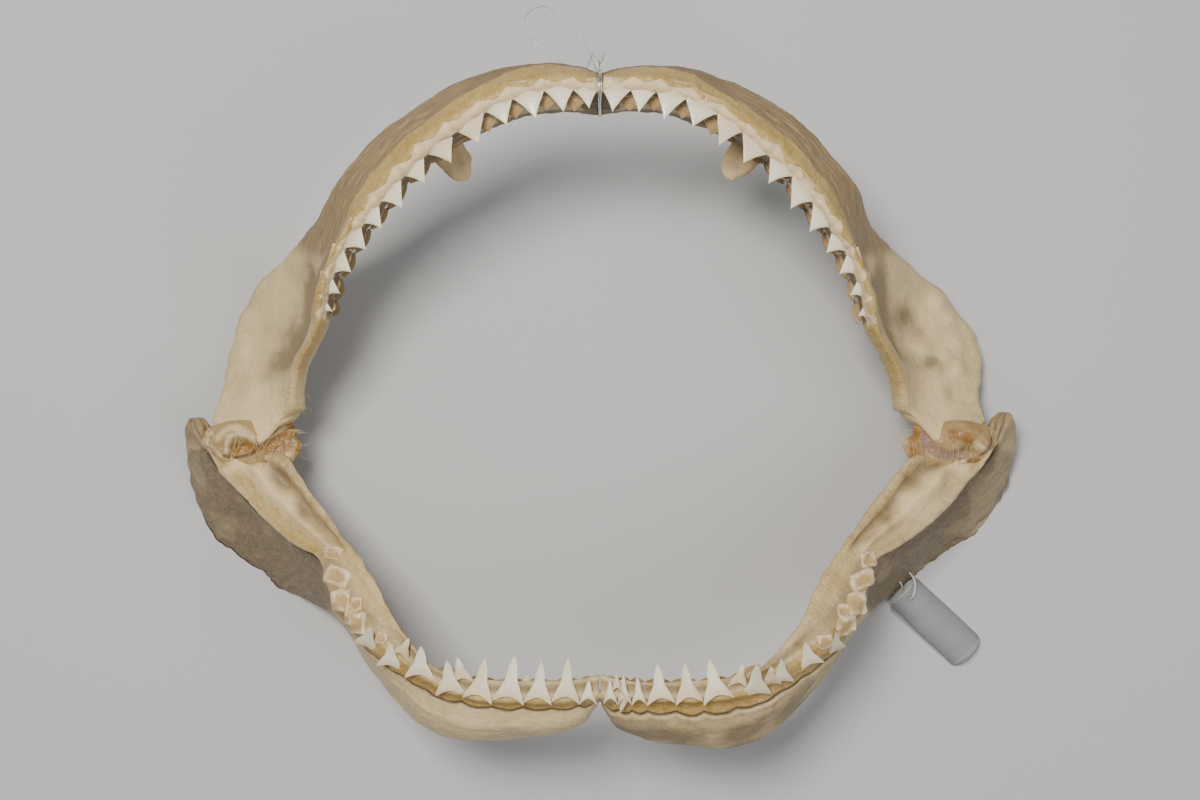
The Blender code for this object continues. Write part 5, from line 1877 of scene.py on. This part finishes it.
@dataclass
class HangingLine:
    """A loop of clear line from the wire over the front of the jaws, down to the table."""

    diameter: float = 0.8
    steps: int = 3
    route: tuple[Triple, ...] = (
        (1.1, 158.9, 116.8), (1.5, 163.0, 116.2), (1.8, 167.2, 111.0), (1.6, 169.0, 99.0),
        (1.0, 169.8, 80.0), (0.2, 170.6, 60.0), (-0.6, 171.8, 40.0), (-1.4, 174.0, 22.0),
        (-2.4, 177.6, 9.0), (-4.0, 182.5, 2.6), (-5.8, 188.0, 1.3), (-8.5, 193.8, 1.3),
        (-12.5, 198.6, 1.3), (-17.8, 203.6, 1.3), (-23.0, 209.0, 1.3), (-28.7, 213.0, 1.3),
        (-35.0, 212.4, 1.3), (-40.4, 208.2, 1.3), (-41.2, 202.0, 1.3), (-37.6, 196.0, 1.3),
        (-31.8, 190.0, 1.3), (-25.2, 185.2, 1.3), (-18.4, 180.8, 3.2), (-13.0, 177.2, 10.0),
        (-9.6, 174.2, 22.0), (-7.4, 172.0, 40.0), (-5.8, 170.8, 60.0), (-4.6, 169.9, 80.0),
        (-3.6, 169.0, 99.0), (-2.8, 166.8, 110.5), (-2.0, 162.6, 115.4), (-1.2, 158.9, 115.9),
    )

    def make(self, material: bpy.types.Material) -> bpy.types.Object:
        line = settled(smooth_path(self.route, self.steps))
        curve = bpy.data.curves.new("clear_line", "CURVE")
        curve.dimensions = "3D"
        curve.bevel_depth = self.diameter / 2 * MM
        curve.bevel_resolution = 3
        curve.use_fill_caps = True
        spline_part = curve.splines.new("POLY")
        spline_part.points.add(len(line) - 1)
        for point, place in zip(spline_part.points, line):
            point.co = (*place, 1)
        curve.materials.append(material)
        piece = settle_piece(linked("clear_line", curve), "nylon_line", "hanging_line")
        return piece


@dataclass
class PaperTag:
    """A blank, curled card with a hole, and a second layer under it."""

    length: float = 48.0
    width: float = 28.0
    thickness: float = 0.45
    curl_radius: float = 11.0
    corner: float = 4.0
    centre: Pair = (180.7, -119.5)
    turn: float = -44.0
    clearance: float = 0.2
    hole_radius: float = 1.5
    hole_inset: float = 5.0
    steps: tuple[int, int] = (72, 48)

    @property
    def hole(self) -> Array:
        """The middle of the hole on the flat card."""
        return np.array((self.hole_inset - self.length / 2, 0, 0))

    def curled(self, across: Array, drop: float) -> tuple[Array, Array]:
        """Where a line across the flat card lies when curled: across and above the table."""
        radius = self.curl_radius - drop
        limit = 0.5 * self.width / self.curl_radius
        low = self.curl_radius * math.cos(limit) - self.thickness / 2
        angle = np.clip(across / self.curl_radius, -limit, limit)
        spare = across - angle * self.curl_radius
        height = np.maximum(radius * np.cos(angle) - low + self.clearance, self.thickness / 2 + 0.08)
        return radius * np.sin(angle) + 0.8 * spare, height

    def sheet(self, drop: float, shift: float, slip: float, yaw: float, seed: int) -> tuple[Array, Array]:
        """A grid of the card's middle surface in the maker's frame, and its flat coordinates."""
        u, v = np.meshgrid(*[np.linspace(-1, 1, n) for n in self.steps], indexing="ij")
        across = np.sin(v * math.pi / 2) * self.width / 2
        into = np.maximum(np.abs(across) - (self.width / 2 - self.corner), 0)
        end = self.length / 2 - self.corner + np.sqrt(np.maximum(self.corner**2 - into**2, 0))
        along = u * end
        flat = np.stack([along, across, np.zeros(along.shape)], axis=-1)
        away = flat - self.hole
        far = np.linalg.norm(away, axis=-1, keepdims=True)
        near = (far < self.hole_radius * 1.15) & (far > 1e-6)
        flat = np.where(near, self.hole + away / np.maximum(far, 1e-6) * self.hole_radius, flat)
        y, z = self.curled(flat[..., 1] + shift, drop)
        x = flat[..., 0] + slip
        crease = 0.5 * hump(x, 6, 1) * rise(np.abs(flat[..., 1]), 4, 12)
        waves = 0.35 * grain(flat, 16, 2, seed) + crease
        z = z + waves * rise(z, 0.4, 2)
        y = y + 0.5 * grain(flat, 20, 2, seed + 3)
        spin = math.radians(self.turn + yaw)
        place = np.stack([self.centre[0] + x * math.cos(spin) - y * math.sin(spin),
                          self.centre[1] + x * math.sin(spin) + y * math.cos(spin),
                          z + SETTLED[2]], axis=-1)
        return place, flat

    def card(self, name: str, material: bpy.types.Material, holed: bool,
             *placing: float) -> bpy.types.Object:
        """One layer as an object, with its hole cut and its thickness given."""
        grid, flat = self.sheet(*placing[:4], seed=int(placing[4]))
        batch = MeshBatch(*PaperFinish.VALUES)
        rim = np.maximum(np.abs(flat[..., 0]) / (self.length / 2), np.abs(flat[..., 1]) / (self.width / 2))
        batch.add(grid, closed=False, cap=Cap.OPEN, rim=rim**6)
        if holed:
            far = np.linalg.norm(flat - self.hole, axis=-1).ravel()
            batch.faces = [f for f in batch.faces if max(far[k] for k in f) > self.hole_radius * 1.01]
        piece = batch.build(name, material)
        shell = piece.modifiers.new("card", "SOLIDIFY")
        shell.thickness = self.thickness * MM
        shell.offset = 0.0
        return piece

    def make(self, material: bpy.types.Material) -> bpy.types.Object:
        """Builds both layers and returns the upper one."""
        top = self.card("tag_card", material, True, 0, 0, 0, 0, 301)
        settle_piece(top, "tag_paper", "paper_tag")
        under = self.card("tag_under_card", material, False, 0.75, -2.6, 1.2, 1.5, 307)
        settle_piece(under, "tag_paper")
        return top


@dataclass
class TagThread:
    """Two plies of cotton from the edge of the lower jaw through the tag's hole and back."""

    diameter: float = 1.0
    ply_radius: float = 0.27
    lay: float = 2.4            # length of one turn of the plies
    pressed: float = 0.85       # how close they lie, over their radius
    steps: int = 14
    route: tuple[Triple, ...] = (
        (165.4, -92.6, 12.2), (166.3, -93.2, 10.5), (167.9, -95.0, 8.6), (169.2, -98.6, 9.4),
        (168.6, -103.0, 10.6), (167.4, -105.8, 9.6), (166.8, -106.4, 6.4), (165.4, -105.2, 3.4),
        (163.4, -102.9, 3.6), (162.6, -100.4, 6.0), (161.5, -98.8, 9.9), (160.1, -97.3, 13.6),
    )

    def plies(self, batch: MeshBatch, line: Array) -> None:
        """Twists two plies round a line."""
        length = lengths_along(line)
        guide = sweep(line, 1, 4)
        across, up = guide[:, 0] - line, guide[:, 1] - line
        for phase in (0, math.pi):
            angle = (length / self.lay * math.tau + phase)[:, None]
            ply = line + (np.cos(angle) * across + np.sin(angle) * up) * self.ply_radius * self.pressed
            batch.add(sweep(ply, self.ply_radius, 10), run=length[:, None],
                      girth=np.linspace(0, 1.7, 10)[None])

    def make(self, material: bpy.types.Material, tag: bpy.types.Object) -> bpy.types.Object:
        line = smooth_path(self.route, self.steps)
        batch = MeshBatch(*CottonFinish.VALUES)
        self.plies(batch, line)
        piece = settle_piece(batch.build("cotton_thread", material), "tag_thread", "tag_thread")
        centre = settled(line)
        return piece


# ---- the stage


@dataclass(frozen=True)
class Viewpoint:
    """A camera straight above the jaws."""

    height: float = 0.9992
    middle: Pair = (-0.00009, 0.00536)
    field: float = 36.0
    sensor: float = 36.0

    def make(self) -> bpy.types.Object:
        """Adds the camera and makes it the scene's."""
        data = bpy.data.cameras.new("camera")
        data.sensor_width = self.sensor
        data.lens = self.sensor / 2 / math.tan(math.radians(self.field) / 2)
        camera = linked("camera", data)
        camera.location = (*self.middle, self.height)
        bpy.context.scene.camera = camera
        return camera


@dataclass(frozen=True)
class Lamp:
    """A soft rectangular light aimed at the jaws."""

    name: str
    place: Triple
    size: float
    power: float
    tint: Colour = (1, 0.97, 0.93)

    def make(self) -> None:
        """Adds the light."""
        data = bpy.data.lights.new(self.name, "AREA")
        data.size = self.size
        data.energy = self.power
        data.color = self.tint
        lamp = linked(self.name, data)
        lamp.location = self.place
        aim = np.array((0, 0, 0.05)) - np.array(self.place)
        lamp.rotation_euler = (math.acos(-aim[2] / np.linalg.norm(aim)), 0,
                               math.atan2(aim[1], aim[0]) - math.pi / 2)


@dataclass(frozen=True)
class Studio:
    """A pale floor under soft light."""

    floor: Colour = (0.50, 0.495, 0.485)
    floor_half: float = 6.0
    sky: Colour = (0.80, 0.82, 0.85)
    sky_strength: float = 0.28
    lamps: tuple[Lamp, ...] = (
        Lamp("key", (-0.34, 0.42, 1.55), 0.5, 31),
        Lamp("fill", (0.9, -0.5, 1.2), 1.1, 8, (0.95, 0.97, 1)),
    )

    def make(self) -> None:
        """Adds the floor, the sky light and the lamps."""
        bench = Bench("floor")
        colour = bench.mix(bench.noise(400, 2), self.floor, tuple(0.97 * c for c in self.floor))
        dust = bench.noise(3, 2)
        bench.finish(colour, 0.85 + dust * 0.1, bench.bump(dust, 0.02))
        half = self.floor_half
        mesh = bpy.data.meshes.new("floor")
        corners = [(x * half, y * half, 0) for x, y in ((-1, -1), (1, -1), (1, 1), (-1, 1))]
        mesh.from_pydata(corners, [], [(0, 1, 2, 3)])
        mesh.materials.append(bench.material)
        floor = linked("floor", mesh)
        world = bpy.data.worlds.new("studio")
        bpy.context.scene.world = world
        world.use_nodes = True
        sky = world.node_tree.nodes["Background"]
        sky.inputs["Color"].default_value = (*self.sky, 1)
        sky.inputs["Strength"].default_value = self.sky_strength
        for lamp in self.lamps:
            lamp.make()


def add_half(half: HalfJaw, teeth: ToothRow, cartilage: bpy.types.Material,
             enamel: bpy.types.Material) -> None:
    """Builds the cartilage and the teeth of a half jaw, as two pieces of its node."""
    arch, word = half.arch.name.lower(), half.side.name.lower()
    for kind, maker, names, material, sharp in (
            ("cartilage", half, CartilageFinish.VALUES, cartilage, None),
            ("teeth", teeth, EnamelFinish.VALUES, enamel, TOOTH_CREASE)):
        batch = MeshBatch(*names)
        maker.mesh(batch)
        piece = batch.build(f"{arch}_{kind}_{word}", material, sharp)
        settle_piece(piece, "dried_cartilage", f"{arch}_jaw_{word}")


def main() -> None:
    """Builds the pieces in order."""
    logging.basicConfig(level=logging.INFO, format="%(name)s %(message)s")
    Viewpoint().make()
    Studio().make()
    HangingLine().make(NylonFinish().make())
    tag = PaperTag().make(PaperFinish().make())
    TagThread().make(CottonFinish().make(), tag)
    cartilage = CartilageFinish().make()
    enamel = EnamelFinish().make()
    sinew = SinewFinish().make()
    for side in Side:
        upper = UpperHalf(side, pitches=UPPER_PITCH[side], mounds=UPPER_MOUNDS[side],
                          patches=UPPER_STAINS_LIGHT_AND_SHADE[side])
        grey, gold = LOWER_TONES[side]
        lower = LowerHalf(side, pitches=LOWER_PITCH[side], mounds=LOWER_MOUNDS[side],
                          patches=LOWER_STAINS_LIGHT_AND_SHADE[side], seam=LOWER_SEAM[side], chin_grey=grey, shelf_gold=gold)
        # worn=0.55: the upper crowns are darkened as painted shade
        upper_teeth = UpperTeeth(
            upper, UPPER_FORM, upper.pitches, UPPER_CROWN[side], seat=(3.2, 0), lean=(-1, -0.1),
            rng_seed=5, worn=0.55)
        lower_teeth = LowerTeeth(
            lower, LOWER_FORM, lower.pitches, LOWER_CROWN[side], seat=(1.3, 0.9), lean=(-1, 0.1),
            rng_seed=9, extras=LOWER_EXTRAS[side], placed=LOWER_PLACED[side], plates=LOWER_PLATES[side])
        add_half(upper, upper_teeth, cartilage, enamel)
        add_half(lower, lower_teeth, cartilage, enamel)
        Ligament(side, LIGAMENT_FOLDS[side], LIGAMENT_SHEETS[side]).make(sinew)
    SymphysisWire().make(SteelFinish().make())


if __name__ == "__main__":
    main()
